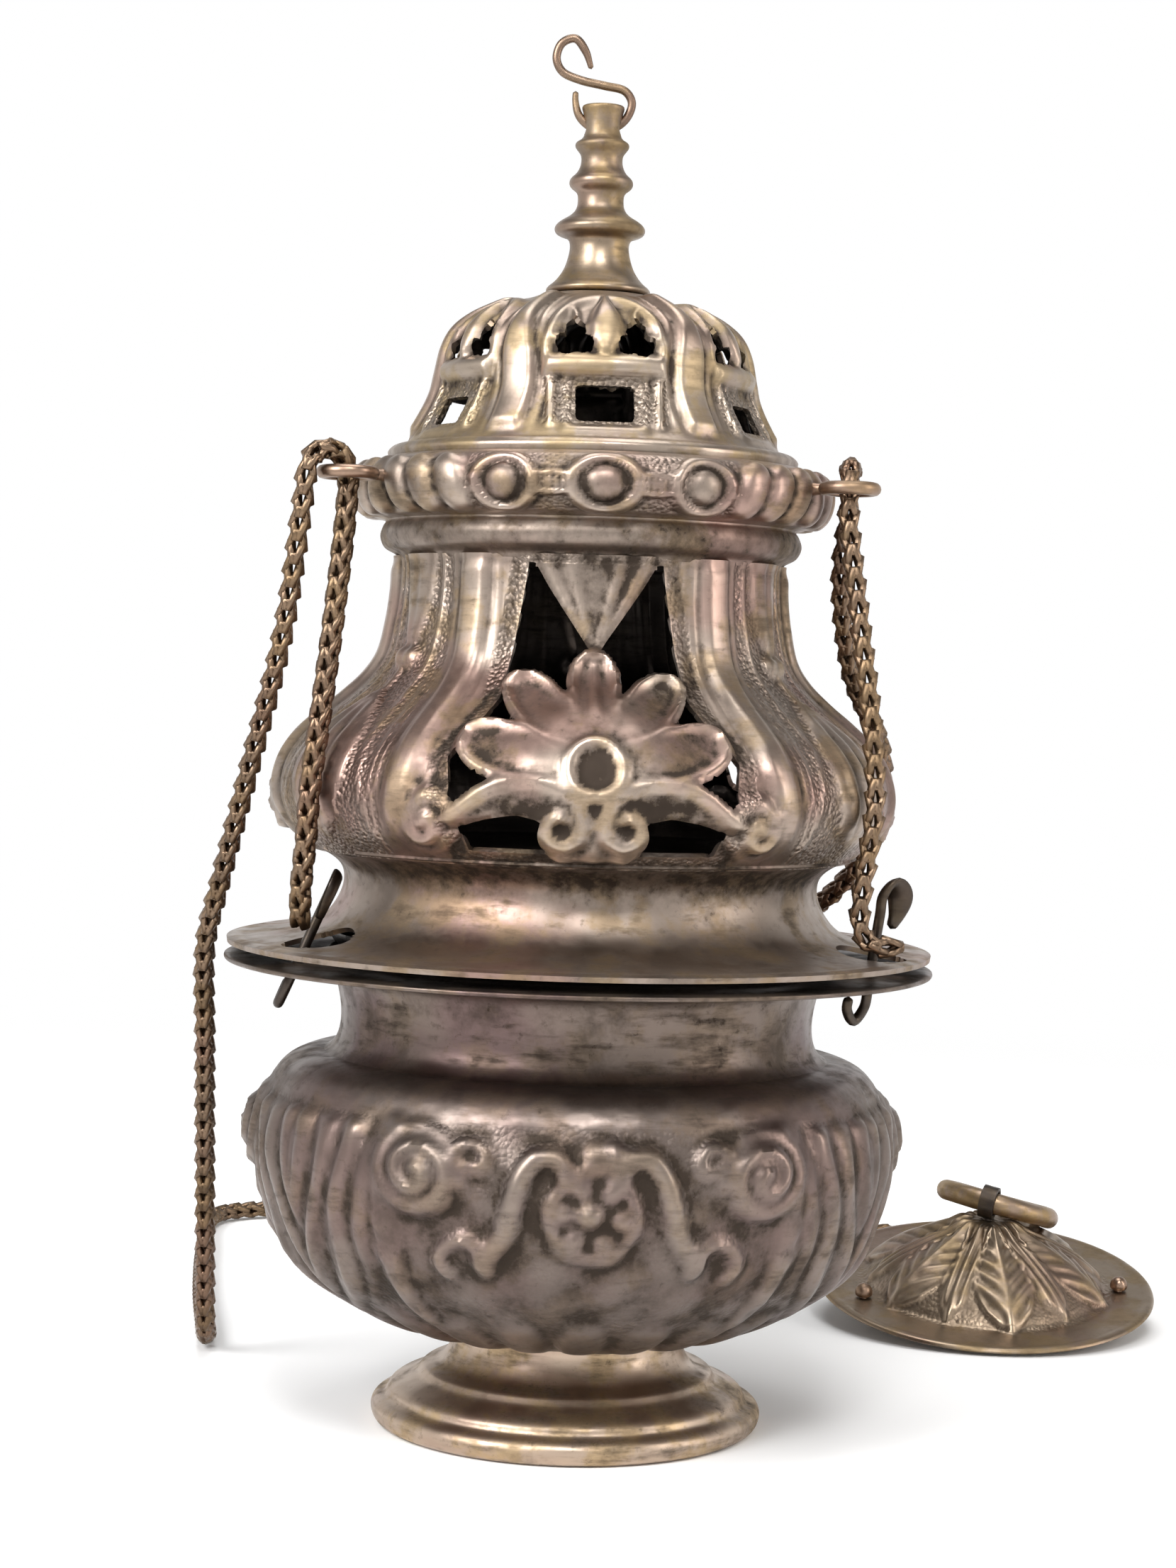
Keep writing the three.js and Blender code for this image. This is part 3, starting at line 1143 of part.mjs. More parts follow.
// The body's axis stands off the middle, so that the whole rests about x = y = 0.
const plateLean = rad(PLATE_TILT);
const plateBack = PLATE_Y + PLATE_R * Math.cos(plateLean) + (PLATE_SHEET / 2) * Math.sin(plateLean);
const middle = v3((PLATE_X + PLATE_R - FLANGE_R) / 2, (plateBack - FLANGE_R) / 2, 0);

const thurible = new THREE.Group();
thurible.add(foot(), bowl(), bowlCollar(), charcoalPan(), coverCollar(), coverBelly(), corniceBelt());
thurible.add(coverDome(), finial(), finialNut(), finialHook(), handPlate(), plateLug(), plateRing());
for (const side of ['left', 'right', 'back']) {
  thurible.add(chainEye(side), flangeHook(side), plateStud(side), ...chain(side));
}
thurible.position.copy(middle).negate();

export default thurible;
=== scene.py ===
"""A silvered brass thurible on its chains' loose ends, with its hand plate beside it.

Lengths are in millimetres and angles in degrees round the body's axis, from the front towards the
right. A point becomes metres only where a mesh is made.
"""
import functools
import math

import bmesh
import bpy
import numpy as np
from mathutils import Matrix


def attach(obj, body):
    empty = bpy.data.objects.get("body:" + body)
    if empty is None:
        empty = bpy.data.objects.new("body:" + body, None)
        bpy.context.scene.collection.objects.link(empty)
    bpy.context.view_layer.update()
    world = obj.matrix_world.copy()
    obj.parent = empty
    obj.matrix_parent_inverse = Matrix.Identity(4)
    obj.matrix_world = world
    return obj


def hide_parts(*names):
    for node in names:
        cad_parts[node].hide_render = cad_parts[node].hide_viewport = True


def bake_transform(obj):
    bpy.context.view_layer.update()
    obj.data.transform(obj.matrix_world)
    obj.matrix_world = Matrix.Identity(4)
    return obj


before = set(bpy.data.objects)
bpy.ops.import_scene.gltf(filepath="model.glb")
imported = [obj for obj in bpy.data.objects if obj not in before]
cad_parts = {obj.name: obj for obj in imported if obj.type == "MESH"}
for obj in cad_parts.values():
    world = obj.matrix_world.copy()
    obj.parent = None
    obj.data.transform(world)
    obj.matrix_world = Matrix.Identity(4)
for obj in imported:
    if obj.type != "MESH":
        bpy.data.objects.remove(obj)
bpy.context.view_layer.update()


# Camera
# A long lens a little over half a metre from the body, level, at the height of the cover's belly,
# and turned a little about its own line of sight as the photograph is.
CAMERA_PLACE = (-32.7, -627.7, 146.6)
CAMERA_ROLL = 1.7
FRAME_HEIGHT = 2212
FOCAL_PIXELS = 4200
HORIZON_ABOVE_MIDDLE = 146

camera_data = bpy.data.cameras.new("studio_camera")
camera_data.sensor_width = 36
camera_data.lens = FOCAL_PIXELS * camera_data.sensor_width / FRAME_HEIGHT
camera_data.shift_y = -HORIZON_ABOVE_MIDDLE / FRAME_HEIGHT
camera_data.clip_start = 0.01
camera = bpy.data.objects.new("studio_camera", camera_data)
camera.location = [value / 1000 for value in CAMERA_PLACE]
camera.rotation_euler = (math.pi / 2, -math.radians(CAMERA_ROLL), 0)
bpy.context.scene.collection.objects.link(camera)
bpy.context.scene.camera = camera
bpy.context.scene.view_settings.view_transform = "Standard"


# Three loop-in-loop chains
# Each chain is of small brass rings, folded double and hung through one another. It is hooked to
# the bowl's flange, runs up through its eye on the cover, over and down again, and lies behind the
# body, with its far end under the hand plate.
AXIS = np.array([-33.0, -36.2085, 0.0])
CHAIN_BEND_R = 4.3
CHAIN_LIES_AT = 2.5
CHAIN_OVER = {"left": -57, "right": 174, "back": 183}
EYE_ANGLES = {"left": -57, "right": 63, "back": 183}
EYE_R = 55
EYE_HEIGHT = 184.5
LINK_LENGTH, LINK_PITCH, LINK_HALF_WIDE, LINK_HALF_DEEP, LINK_WIRE_R = 4.6, 2.25, 1.5, 1.15, 0.8
RING_STEPS, RING_SIDES = 12, 5
GUIDES = {
    "left": [(-52.4, -32.4, 98.6), (-52.2, -35, 106), (-51.2, -38, 116), (-50.7, -38.9, 125),
             (-49.4, -37, 138), (-47.6, -33.4, 158)],
    "right": [(60.5, -30, 98.2), (57, -32, 98.2), (54.2, -32.2, 99), (52.8, -31.8, 102),
              (53, -32, 109), (54.2, -32.6, 118), (54.9, -32.4, 126), (54, -30.6, 140),
              (51.4, -27.2, 160)],
    "back": [(3, 63.4, 98.7), (3, 64.2, 110), (2, 64.6, 124), (0.6, 62.2, 139), (-1.2, 58, 158)]}
FALLS = {
    "left": [(-57.7, -27, 154.5), (-64.1, -18, 129.3), (-71, -6, 104.4), (-74.4, 2, 92),
             (-75.2, 12, 72), (-76.2, 27, 41), (-76.9, 38, 18), (-77.3, 43.4, 8.4),
             (-77.8, 50, 3.6), (-78.8, 58)],
    "right": [(49.2, -9, 168), (52.6, 2, 150), (60.6, 17.5, 134), (61.6, 25.2, 122),
              (58.2, 34, 110), (52, 41.5, 101.5), (46.4, 49, 98), (43, 55.5, 97), (40.6, 61, 94),
              (38, 67, 86), (30, 77, 68), (16, 95, 30), (10.4, 103, 12), (7.6, 109, 5),
              (6.3, 117)],
    "back": [(-5, 66.5, 160), (-8, 70.2, 130), (-12, 74, 100), (-17, 78, 82), (-31, 91, 38),
             (-38.6, 100, 18), (-43, 106, 8), (-46.6, 113, 3.4), (-50, 121)]}
RESTS = {
    "left": [(-80.2, 67), (-84, 92), (-88.6, 128), (-92, 160), (-94.6, 184), (-92, 199),
             (-79, 207.5), (-50, 209), (10, 208.5), (50, 207), (78, 202), (101, 187), (117, 168),
             (126.5, 148), (129.8, 127, 2.6), (129, 113, 4), (128.2, 105.3, 4.8)],
    "right": [(6, 126), (6, 158), (9.4, 167), (17.5, 170.5), (25.6, 167), (29, 158), (29, 143),
              (32.4, 134.4), (40.5, 131), (48.6, 134.4), (52, 143), (52, 158), (55.6, 167),
              (64, 170.5), (72.6, 167), (76, 158), (75.5, 138), (72.5, 115, 2.6),
              (68.4, 97.2, 3.2)],
    "back": [(-52, 130), (-52.6, 158), (-49.8, 167), (-42.6, 170.5), (-35.6, 167), (-33, 158),
             (-32, 143), (-27.6, 135), (-20.6, 135), (-16.6, 143), (-16, 164), (-12, 181),
             (-3, 189), (12, 190.5), (58, 190), (76, 185), (86, 172, 2.8), (91, 155, 6.5),
             (92.6, 138, 11)]}


def around(radius, degrees, height):
    """The point at radius from the body's axis: (radius sin a, -radius cos a, height)."""
    a = math.radians(degrees)
    return np.array([radius * math.sin(a), -radius * math.cos(a), height])


def length_along(line):
    """The length of a line before each of its points."""
    return np.r_[0, np.cumsum(np.linalg.norm(np.diff(line, axis=0), axis=1))]


def smooth_line(points, count):
    """A smooth line through points, divided into equal lengths.

    Each span is the cubic whose end slopes are the centripetal Catmull-Rom ones, with each end of
    the line carried on straight by one span."""
    p = np.asarray(points, float)
    p = np.vstack([2 * p[0] - p[1], p, 2 * p[-1] - p[-2]])
    knot = np.sqrt(np.linalg.norm(np.diff(p, axis=0), axis=1))[:, None]
    k0, k1, k2 = knot[:-2], knot[1:-1], knot[2:]
    a, b, c, d = p[:-3], p[1:-2], p[2:-1], p[3:]
    leave = ((b - a) / k0 - (c - a) / (k0 + k1) + (c - b) / k1) * k1
    arrive = ((c - b) / k1 - (d - b) / (k1 + k2) + (d - c) / k2) * k1
    t = np.linspace(0, 1, 24, endpoint=False)[None, :, None]
    b, c, leave, arrive = (x[:, None] for x in (b, c, leave, arrive))
    line = ((2 * t**3 - 3 * t**2 + 1) * b + (t**3 - 2 * t**2 + t) * leave
            + (3 * t**2 - 2 * t**3) * c + (t**3 - t**2) * arrive)
    line = np.vstack([line.reshape(-1, p.shape[1]), p[-2]])
    length = length_along(line)
    even = np.linspace(0, length[-1], count)
    return np.column_stack([np.interp(even, length, column) for column in line.T])


def carried_frames(line):
    """The direction of a line at each of its points, and two directions across it. The first is
    carried from point to point by taking away only the part of it that lies along the line."""
    along = np.gradient(line, axis=0)
    along /= np.linalg.norm(along, axis=1)[:, None]
    side = np.empty_like(line)
    carried = np.array([0.3, 0.2, 1.0])
    for i, direction in enumerate(along):
        carried = carried - carried.dot(direction) * direction
        carried /= np.linalg.norm(carried)
        side[i] = carried
    return along, side, np.cross(along, side)


def grid_faces(rows, columns, wrap_rows=False, wrap_columns=False):
    """The quads (i, j), (i, j+1), (i+1, j+1), (i+1, j) of a grid of points. A wrapped grid's last
    row or column is joined to its first."""
    i = np.arange(rows if wrap_rows else rows - 1)[:, None]
    j = np.arange(columns if wrap_columns else columns - 1)[None, :]
    i_next, j_next = (i + 1) % rows, (j + 1) % columns
    quads = [i * columns + j, i * columns + j_next, i_next * columns + j_next,
             i_next * columns + j]
    return np.stack(quads, -1).reshape(-1, 4)


def made(name, finishes, *shells, marks=None, weld=False, sharp=None):
    """An object with its materials, from shells of points in millimetres and quads, with the marks,
    which are numbers for each point, as attributes. A weld makes points at one place one."""
    starts = np.cumsum([0] + [len(points) for points, _ in shells])
    points = np.vstack([points for points, _ in shells]) / 1000
    quads = np.vstack([quads + start for (_, quads), start in zip(shells, starts)])
    mesh = bpy.data.meshes.new(name)
    mesh.vertices.add(len(points))
    mesh.vertices.foreach_set("co", points.astype(np.float32).ravel())
    mesh.loops.add(quads.size)
    mesh.loops.foreach_set("vertex_index", quads.astype(np.int32).ravel())
    mesh.polygons.add(len(quads))
    mesh.polygons.foreach_set("loop_start", np.arange(0, quads.size, 4, dtype=np.int32))
    mesh.update(calc_edges=True)
    for mark, values in (marks or {}).items():
        mesh.attributes.new(mark, "FLOAT", "POINT").data.foreach_set(
            "value", values.astype(np.float32).ravel())
    if weld:
        work = bmesh.new()
        work.from_mesh(mesh)
        bmesh.ops.remove_doubles(work, verts=work.verts, dist=2e-6)
        bmesh.ops.dissolve_degenerate(work, edges=work.edges, dist=1e-7)
        work.to_mesh(mesh)
        work.free()
    mesh.validate()
    mesh.shade_smooth()
    if sharp:
        mesh.set_sharp_from_angle(angle=math.radians(sharp))
    for finish in finishes:
        mesh.materials.append(finish)
    piece = bpy.data.objects.new(name, mesh)
    bpy.context.scene.collection.objects.link(piece)
    return piece


def foxtail(line):
    """The rings of a loop-in-loop chain along a line. In its own place a folded ring's wire runs
    through (A cos t, B sin t, L cos^2 t), across, across and along; each ring is turned a quarter
    from the last and stands one pitch on."""
    line = smooth_line(line, int(length_along(line)[-1] / 0.35))
    _, side, third = carried_frames(line)
    length = length_along(line)
    rings = int((length[-1] - LINK_LENGTH) / LINK_PITCH)
    t = np.radians(np.arange(RING_STEPS) * 360 / RING_STEPS + 15)
    wire = np.column_stack([LINK_HALF_WIDE * np.cos(t), LINK_HALF_DEEP * np.sin(t),
                            LINK_LENGTH * np.cos(t) ** 2])
    run = np.column_stack([-LINK_HALF_WIDE * np.sin(t), LINK_HALF_DEEP * np.cos(t),
                           -LINK_LENGTH * np.sin(2 * t)])
    run /= np.linalg.norm(run, axis=1)[:, None]
    outward = wire * (1, 1, 0)
    outward -= (outward * run).sum(1)[:, None] * run
    outward /= np.linalg.norm(outward, axis=1)[:, None]
    across = np.cross(run, outward)
    turn = np.radians(np.arange(RING_SIDES) * 360 / RING_SIDES)[None, :, None]
    tube = wire[:, None] + LINK_WIRE_R * (np.cos(turn) * outward[:, None]
                                          + np.sin(turn) * across[:, None])
    number = np.arange(rings)[:, None, None]
    u = np.where(number % 2 == 0, tube[..., 0], -tube[..., 1])
    v = np.where(number % 2 == 0, tube[..., 1], tube[..., 0])
    reach = number * LINK_PITCH + tube[..., 2]
    place, place_side, place_third = (
        np.stack([np.interp(reach, length, column) for column in grid.T], -1)
        for grid in (line, side, third))
    points = place + u[..., None] * place_side + v[..., None] * place_third
    one = grid_faces(RING_STEPS, RING_SIDES, True, True)[:, ::-1]
    return points.reshape(-1, 3), (one + number * RING_STEPS * RING_SIDES).reshape(-1, 4)


def chain_route(side):
    """The chain's route: up from the flange, half round the eye's wire, down, and along behind."""
    eye = around(EYE_R, EYE_ANGLES[side], EYE_HEIGHT)
    over = around(CHAIN_BEND_R, CHAIN_OVER[side], 0)
    arch = [eye + over * (1 - math.cos(a)) + (0, 0, CHAIN_BEND_R * math.sin(a))
            for a in np.radians([0, 45, 90, 135, 180])]
    behind = [(*point, CHAIN_LIES_AT)[:3] for point in FALLS[side] + RESTS[side]]
    down = np.array(behind[0]) - arch[-1]
    down /= np.linalg.norm(down)
    points = [*GUIDES[side], eye - (0, 0, 5), *arch, arch[-1] + 5.2 * down, *behind]
    return np.array(points, float) + AXIS


class Nodes:
    """The shader nodes of one tree. Where a node is given a value, it is either a socket, which is
    linked, or a constant."""

    def __init__(self, tree):
        self.tree = tree

    def give(self, sockets, values):
        for key, value in values.items():
            if isinstance(value, bpy.types.NodeSocket):
                self.tree.links.new(value, sockets[key])
            else:
                sockets[key].default_value = value

    def add(self, kind, values=(), **settings):
        node = self.tree.nodes.new("ShaderNode" + kind)
        for key, value in settings.items():
            setattr(node, key, value)
        self.give(node.inputs, dict(values))
        return node.outputs

    def math(self, operation, first, second=0.5, clamp=False):
        return self.add("Math", {0: first, 1: second}, operation=operation, use_clamp=clamp)[0]

    def times(self, first, second, clamp=False):
        return self.math("MULTIPLY", first, second, clamp)

    def plus(self, first, second, clamp=False):
        return self.math("ADD", first, second, clamp)

    def mixed(self, share, first, second):
        """The colour between first and second at share."""
        return self.add("Mix", {0: share, 6: first, 7: second}, data_type="RGBA")[2]

    def noise(self, place, scale, detail=3, roughness=0.55):
        """A noise from 0 to 1 whose patches are about 1/scale metres across."""
        return self.add("TexNoise", {"Vector": place, "Scale": scale, "Detail": detail,
                                     "Roughness": roughness})[0]

    def between(self, value, low, high, to_low=0.0, to_high=1.0):
        """value carried from low..high to to_low..to_high, kept inside, with soft ends."""
        return self.add("MapRange", {"Value": value, "From Min": low, "From Max": high,
                                     "To Min": to_low, "To Max": to_high},
                        interpolation_type="SMOOTHSTEP")[0]


def aged_metal_group():
    """Old silvered brass: clean silver-grey patches, pinkish and brassy wear, dark tarnish that
    fills the hollows, crests rubbed bright, hammered wobble and fine pits. On some chased pieces
    the hollow darkening also carries painted shade. Gives a colour, a roughness and a height in
    millimetres."""
    group = bpy.data.node_groups.new("aged_metal", "ShaderNodeTree")
    for kind, names in (("Color", ("Clean", "Rosy", "Brassy", "Dark")),
                        ("Float", ("Tarnish", "Wear", "Hollow", "Crest", "Grain", "Wobble"))):
        for name in names:
            group.interface.new_socket(name, in_out="INPUT", socket_type="NodeSocket" + kind)
    for name, kind in (("Colour", "Color"), ("Roughness", "Float"), ("Height", "Float")):
        group.interface.new_socket(name, in_out="OUTPUT", socket_type="NodeSocket" + kind)
    given = group.nodes.new("NodeGroupInput").outputs
    n = Nodes(group)
    place = n.add("TexCoord")["Object"]
    broad = n.noise(place, 26)
    patch = n.noise(place, 85, 5, 0.62)
    fine = n.noise(place, 420, 4, 0.65)
    streak = n.noise(n.add("Mapping", {"Vector": place, "Scale": (1, 1, 5)})[0], 120, 4, 0.6)
    smoke = n.between(n.noise(place, 38, 6, 0.68), 0.5, 0.68)

    colour = n.mixed(n.times(n.between(broad, 0.45, 0.6), 0.9), given["Clean"], given["Rosy"])
    brassy = n.times(n.between(patch, 0.48, 0.6), given["Wear"], clamp=True)
    colour = n.mixed(brassy, colour, given["Brassy"])

    stain = n.between(n.plus(n.times(streak, 0.55), n.times(patch, 0.55)), 0.5, 0.76)
    stain = n.times(stain, given["Tarnish"])
    filled = n.times(given["Hollow"], n.between(fine, 0.3, 0.6, 0.75, 1.2))
    filled = n.times(filled, n.between(patch, 0.36, 0.6, 0.6, 1.25))
    smoke = n.times(smoke, n.times(given["Tarnish"], 0.75))
    dark = n.math("MAXIMUM", n.math("MAXIMUM", stain, smoke), filled, clamp=True)
    pits = n.times(n.between(fine, 0.58, 0.7), 0.35)
    dark = n.plus(dark, n.times(pits, given["Tarnish"]), clamp=True)
    speckle = n.between(n.noise(place, 1500, 2), 0.4, 0.58, 0, 0.7)
    dark = n.math("MAXIMUM", dark, n.times(given["Grain"], speckle))

    rubbed = n.times(given["Crest"], n.between(patch, 0.35, 0.6, 0.5, 1))
    rubbed = n.times(rubbed, given["Wear"])
    dark = n.times(dark, n.math("SUBTRACT", 1.0, rubbed, clamp=True))
    colour = n.mixed(n.times(rubbed, 0.35), colour, (0.70, 0.58, 0.44, 1))
    colour = n.mixed(dark, colour, given["Dark"])
    rough = n.plus(n.between(patch, 0.3, 0.7, 0.3, 0.46), n.times(dark, 0.26))

    height = n.times(n.noise(place, 62, 2), given["Wobble"])
    height = n.plus(height, n.times(fine, 0.035))
    beads = n.add("TexVoronoi", {"Vector": place, "Scale": 1100.0})[0]
    height = n.math("SUBTRACT", height, n.times(n.times(beads, 0.4), given["Grain"]))
    n.give(group.nodes.new("NodeGroupOutput").inputs, {0: colour, 1: rough, 2: height})
    return group


aged_metal = aged_metal_group()


def metal(name, clean, rosy, brassy, dark=(0.05, 0.038, 0.03), tarnish=0.5, wear=0.5, wobble=0.3,
          marked=False):
    """A Principled metal whose colour, roughness and bump come from the aged metal group, with
    the hollow, crest and grain marks of a chased piece where it has them."""
    material = bpy.data.materials.new(name)
    material.use_nodes = True
    n = Nodes(material.node_tree)
    values = {"Clean": (*clean, 1), "Rosy": (*rosy, 1), "Brassy": (*brassy, 1),
              "Dark": (*dark, 1), "Tarnish": tarnish, "Wear": wear, "Wobble": wobble,
              "Hollow": 0.0, "Crest": 0.0, "Grain": 0.0}
    if marked:
        for mark in ("hollow", "crest", "grain"):
            values[mark.title()] = n.add("Attribute", attribute_name=mark)["Fac"]
    aged = n.add("Group", values, node_tree=aged_metal)
    raised = n.add("Bump", {"Height": aged["Height"], "Strength": 1.0, "Distance": 0.001})
    n.give(n.tree.nodes["Principled BSDF"].inputs,
           {"Base Color": aged["Colour"], "Roughness": aged["Roughness"],
            "Normal": raised["Normal"], "Metallic": 1.0})
    return material


chain_brass = metal("chain_brass", (0.204, 0.14, 0.093), (0.178, 0.111, 0.076),
                    (0.23, 0.153, 0.081), wear=0.6, wobble=0.05)
for side in EYE_ANGLES:
    route = chain_route(side)
    chain = made(f"chain_{side}", [chain_brass], foxtail(route))
    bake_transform(chain)
    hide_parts(*(f"chain_{side}_{part}" for part in ("guide", "fall", "rest")))


# Foot
# A spreading foot spun from one sheet, with a stepped moulding and a plain neck that the bowl is
# soldered to.
FOOT_OUTSIDE = [(36.6, 0), (37.9, 0.6), (38.5, 2), (38.5, 3.4), (37.6, 4.5), (35.9, 5), (35.3, 5.6),
                (35.1, 6.5), (34, 7.4), (31.6, 8.3), (29.8, 9.1), (29.1, 9.9), (28.5, 10.7),
                (27, 11.2), (25.2, 11.8), (24, 13), (22.9, 15), (22.5, 17), (22.6, 18.2)]
FOOT_INSIDE = [(21.1, 18.2), (21.2, 15), (23, 11.4), (27, 9.2), (31, 6.8), (34.6, 3.4), (35.2, 0)]


def rounded(points, times=2):
    """A line with each corner cut at a quarter and three quarters of its sides, over and over."""
    p = np.asarray(points, float)
    for _ in range(times):
        near, far = 0.75 * p[:-1] + 0.25 * p[1:], 0.25 * p[:-1] + 0.75 * p[1:]
        p = np.vstack([p[:1], np.stack([near, far], 1).reshape(-1, p.shape[1]), p[-1:]])
    return p


def turned(section, sides=180, centre=AXIS, closed=True):
    """A shell turned about an upright axis: each point (r, z) of the section becomes the ring
    (r sin a, -r cos a, z). A closed section runs up outside and down inside."""
    section = np.asarray(section, float)
    a = np.arange(sides) * 2 * np.pi / sides
    r, z = section[:, :1], section[:, 1:]
    points = np.stack([r * np.sin(a), -r * np.cos(a), z + 0 * a], -1) + centre
    return points.reshape(-1, 3), grid_faces(len(section), sides, closed, True)


# The foot's metal is painted much lighter than the rest of the body's: painted light, standing in
# for the light that its upper faces would catch.
foot_metal = metal("foot_metal", (0.47, 0.364, 0.28), (0.403, 0.291, 0.23), (0.47, 0.342, 0.196),
                   tarnish=0.8, wear=0.8)
foot = made("foot_shell", [foot_metal], turned(np.vstack([rounded(FOOT_OUTSIDE), FOOT_INSIDE])),
            sharp=60)
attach(foot, "bowl")
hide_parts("foot")


# Bowl
# A wide bowl raised from one sheet and chased from both sides: a ringed flower under a shell and
# between scrolls on each of three fronts, with volutes, leaves and long flutes between them.
BOWL_OUTLINE = [(23, 18.6), (29, 19.6), (38.6, 22.8), (45.4, 26.2), (53.8, 32.2), (58.2, 38.6),
                (61.4, 48), (62.3, 57), (60.2, 66), (57, 70.4), (52.5, 72.2), (49.6, 72.5)]
BOWL_TURN = 3.7
FLOWER_HEIGHT = 51.2
FLOWER_RING_R = 8.1
SHELL_MIDDLE = (2.0, 9.8)
C_SCROLL = [(4.5, 6.0), (6.2, 9.6), (9.6, 10.2), (12.8, 6.8), (14.6, 0.5), (15.6, -3.8), (19, -8.8)]
FOOT_HOOK = [(18.4, -10.4), (20.4, -6.0), (24.6, -5.8), (26.8, -9.2), (24.8, -12.4)]
BOWL_VOLUTE, SMALL_CURL = (31, 6.4), (21.4, 8.8)
SIDE_LEAF = [(37, 14), (40, 4), (39, -8), (34, -18), (26, -25)]
FLUTES_MIDDLE, FLUTE_WIDE = 52, 7.2
SOLDER_HEIGHT = 66.8


def fade(value, low, high):
    """0 below low, 1 above high, and 3t^2 - 2t^3 between them."""
    t = np.clip((value - low) / (high - low), 0, 1)
    return t * t * (3 - 2 * t)


def within(value, low, full, full_to, high):
    """1 from full to full_to, fading to 0 at low and at high."""
    return fade(value, low, full) * (1 - fade(value, full_to, high))


def bump(distance, half):
    """A ridge with soft feet: half of 1 + cos(pi d / half) out to half."""
    return np.where(np.abs(distance) < half, 0.5 + 0.5 * np.cos(np.pi * distance / half), 0)


def cushion(distance, half):
    """A round-backed ridge: the square root of 1 - (d / half)^2."""
    return np.sqrt(np.clip(1 - (distance / half) ** 2, 0, 1))


def highest(*fields):
    """The highest of some fields at each place."""
    return functools.reduce(np.maximum, fields)


def near_line(x, y, points):
    """The distance from each (x, y) to an open line, and the share of the line that lies before
    its nearest place."""
    p = np.asarray(points, float)
    before = length_along(p)
    nearest, share = np.full(x.shape, 1e6), np.zeros(x.shape)
    for start, span, length, passed in zip(p, np.diff(p, axis=0), np.diff(before), before):
        t = np.clip(((x - start[0]) * span[0] + (y - start[1]) * span[1]) / length**2, 0, 1)
        distance = np.hypot(x - start[0] - t * span[0], y - start[1] - t * span[1])
        closer = distance < nearest
        nearest = np.where(closer, distance, nearest)
        share = np.where(closer, (passed + t * length) / before[-1], share)
    return nearest, share


def curl(centre, wide, narrow, start, turns):
    """The points of a spiral that closes from the radius wide to narrow over its turns, which are
    negative for a spiral that runs clockwise."""
    t = np.linspace(0, 1, 26)
    a = np.radians(start + 360 * turns * t)
    radius = wide + (narrow - wide) * t
    return np.column_stack([centre[0] + radius * np.cos(a), centre[1] + radius * np.sin(a)])


def scroll(x, y, points, half, end_half, rise):
    """A raised band along a line, its width going from half to end_half, with a lip on each edge.
    Gives its relief, and how far inside the band each place is."""
    distance, share = near_line(x, y, smooth_line(points, 40))
    width = half + (end_half - half) * share
    inside = width - distance
    return rise * (0.72 * cushion(distance, width) + 0.28 * bump(inside - 0.45, 0.45)), inside


def volute(x, y, centre, half, rise, winding, groove_half):
    """A domed boss with a spiral groove 2 deep in it, and how far off its centre each place is.
    The winding is the groove's radius at its start and end, its first angle and its turns."""
    off = np.hypot(x - centre[0], y - centre[1])
    groove = bump(near_line(x, y, curl(centre, *winding))[0], groove_half)
    groove = 2.0 * groove * fade(half - 0.4 - off, 0, 0.8 * groove_half)
    return rise * cushion(off, half) - groove, off


def softened(field, times):
    """A field averaged with its neighbours, over and over; it runs round in its columns."""
    for _ in range(times):
        field = (field + np.roll(field, 1, 1) + np.roll(field, -1, 1)) / 3
        padded = np.pad(field, ((1, 1), (0, 0)), mode="edge")
        field = (padded[:-2] + padded[1:-1] + padded[2:]) / 3
    return field


def kept_result(piece, sharp):
    """The piece with its modifiers worked into its mesh, and its edges sharp above an angle."""
    solid = bpy.data.meshes.new_from_object(
        piece.evaluated_get(bpy.context.evaluated_depsgraph_get()))
    piece.modifiers.clear()
    piece.data = solid
    solid.name = piece.name
    solid.set_sharp_from_angle(angle=math.radians(sharp))


def on_axis(points):
    """A place given about the body's axis, in the frame."""
    return points + AXIS


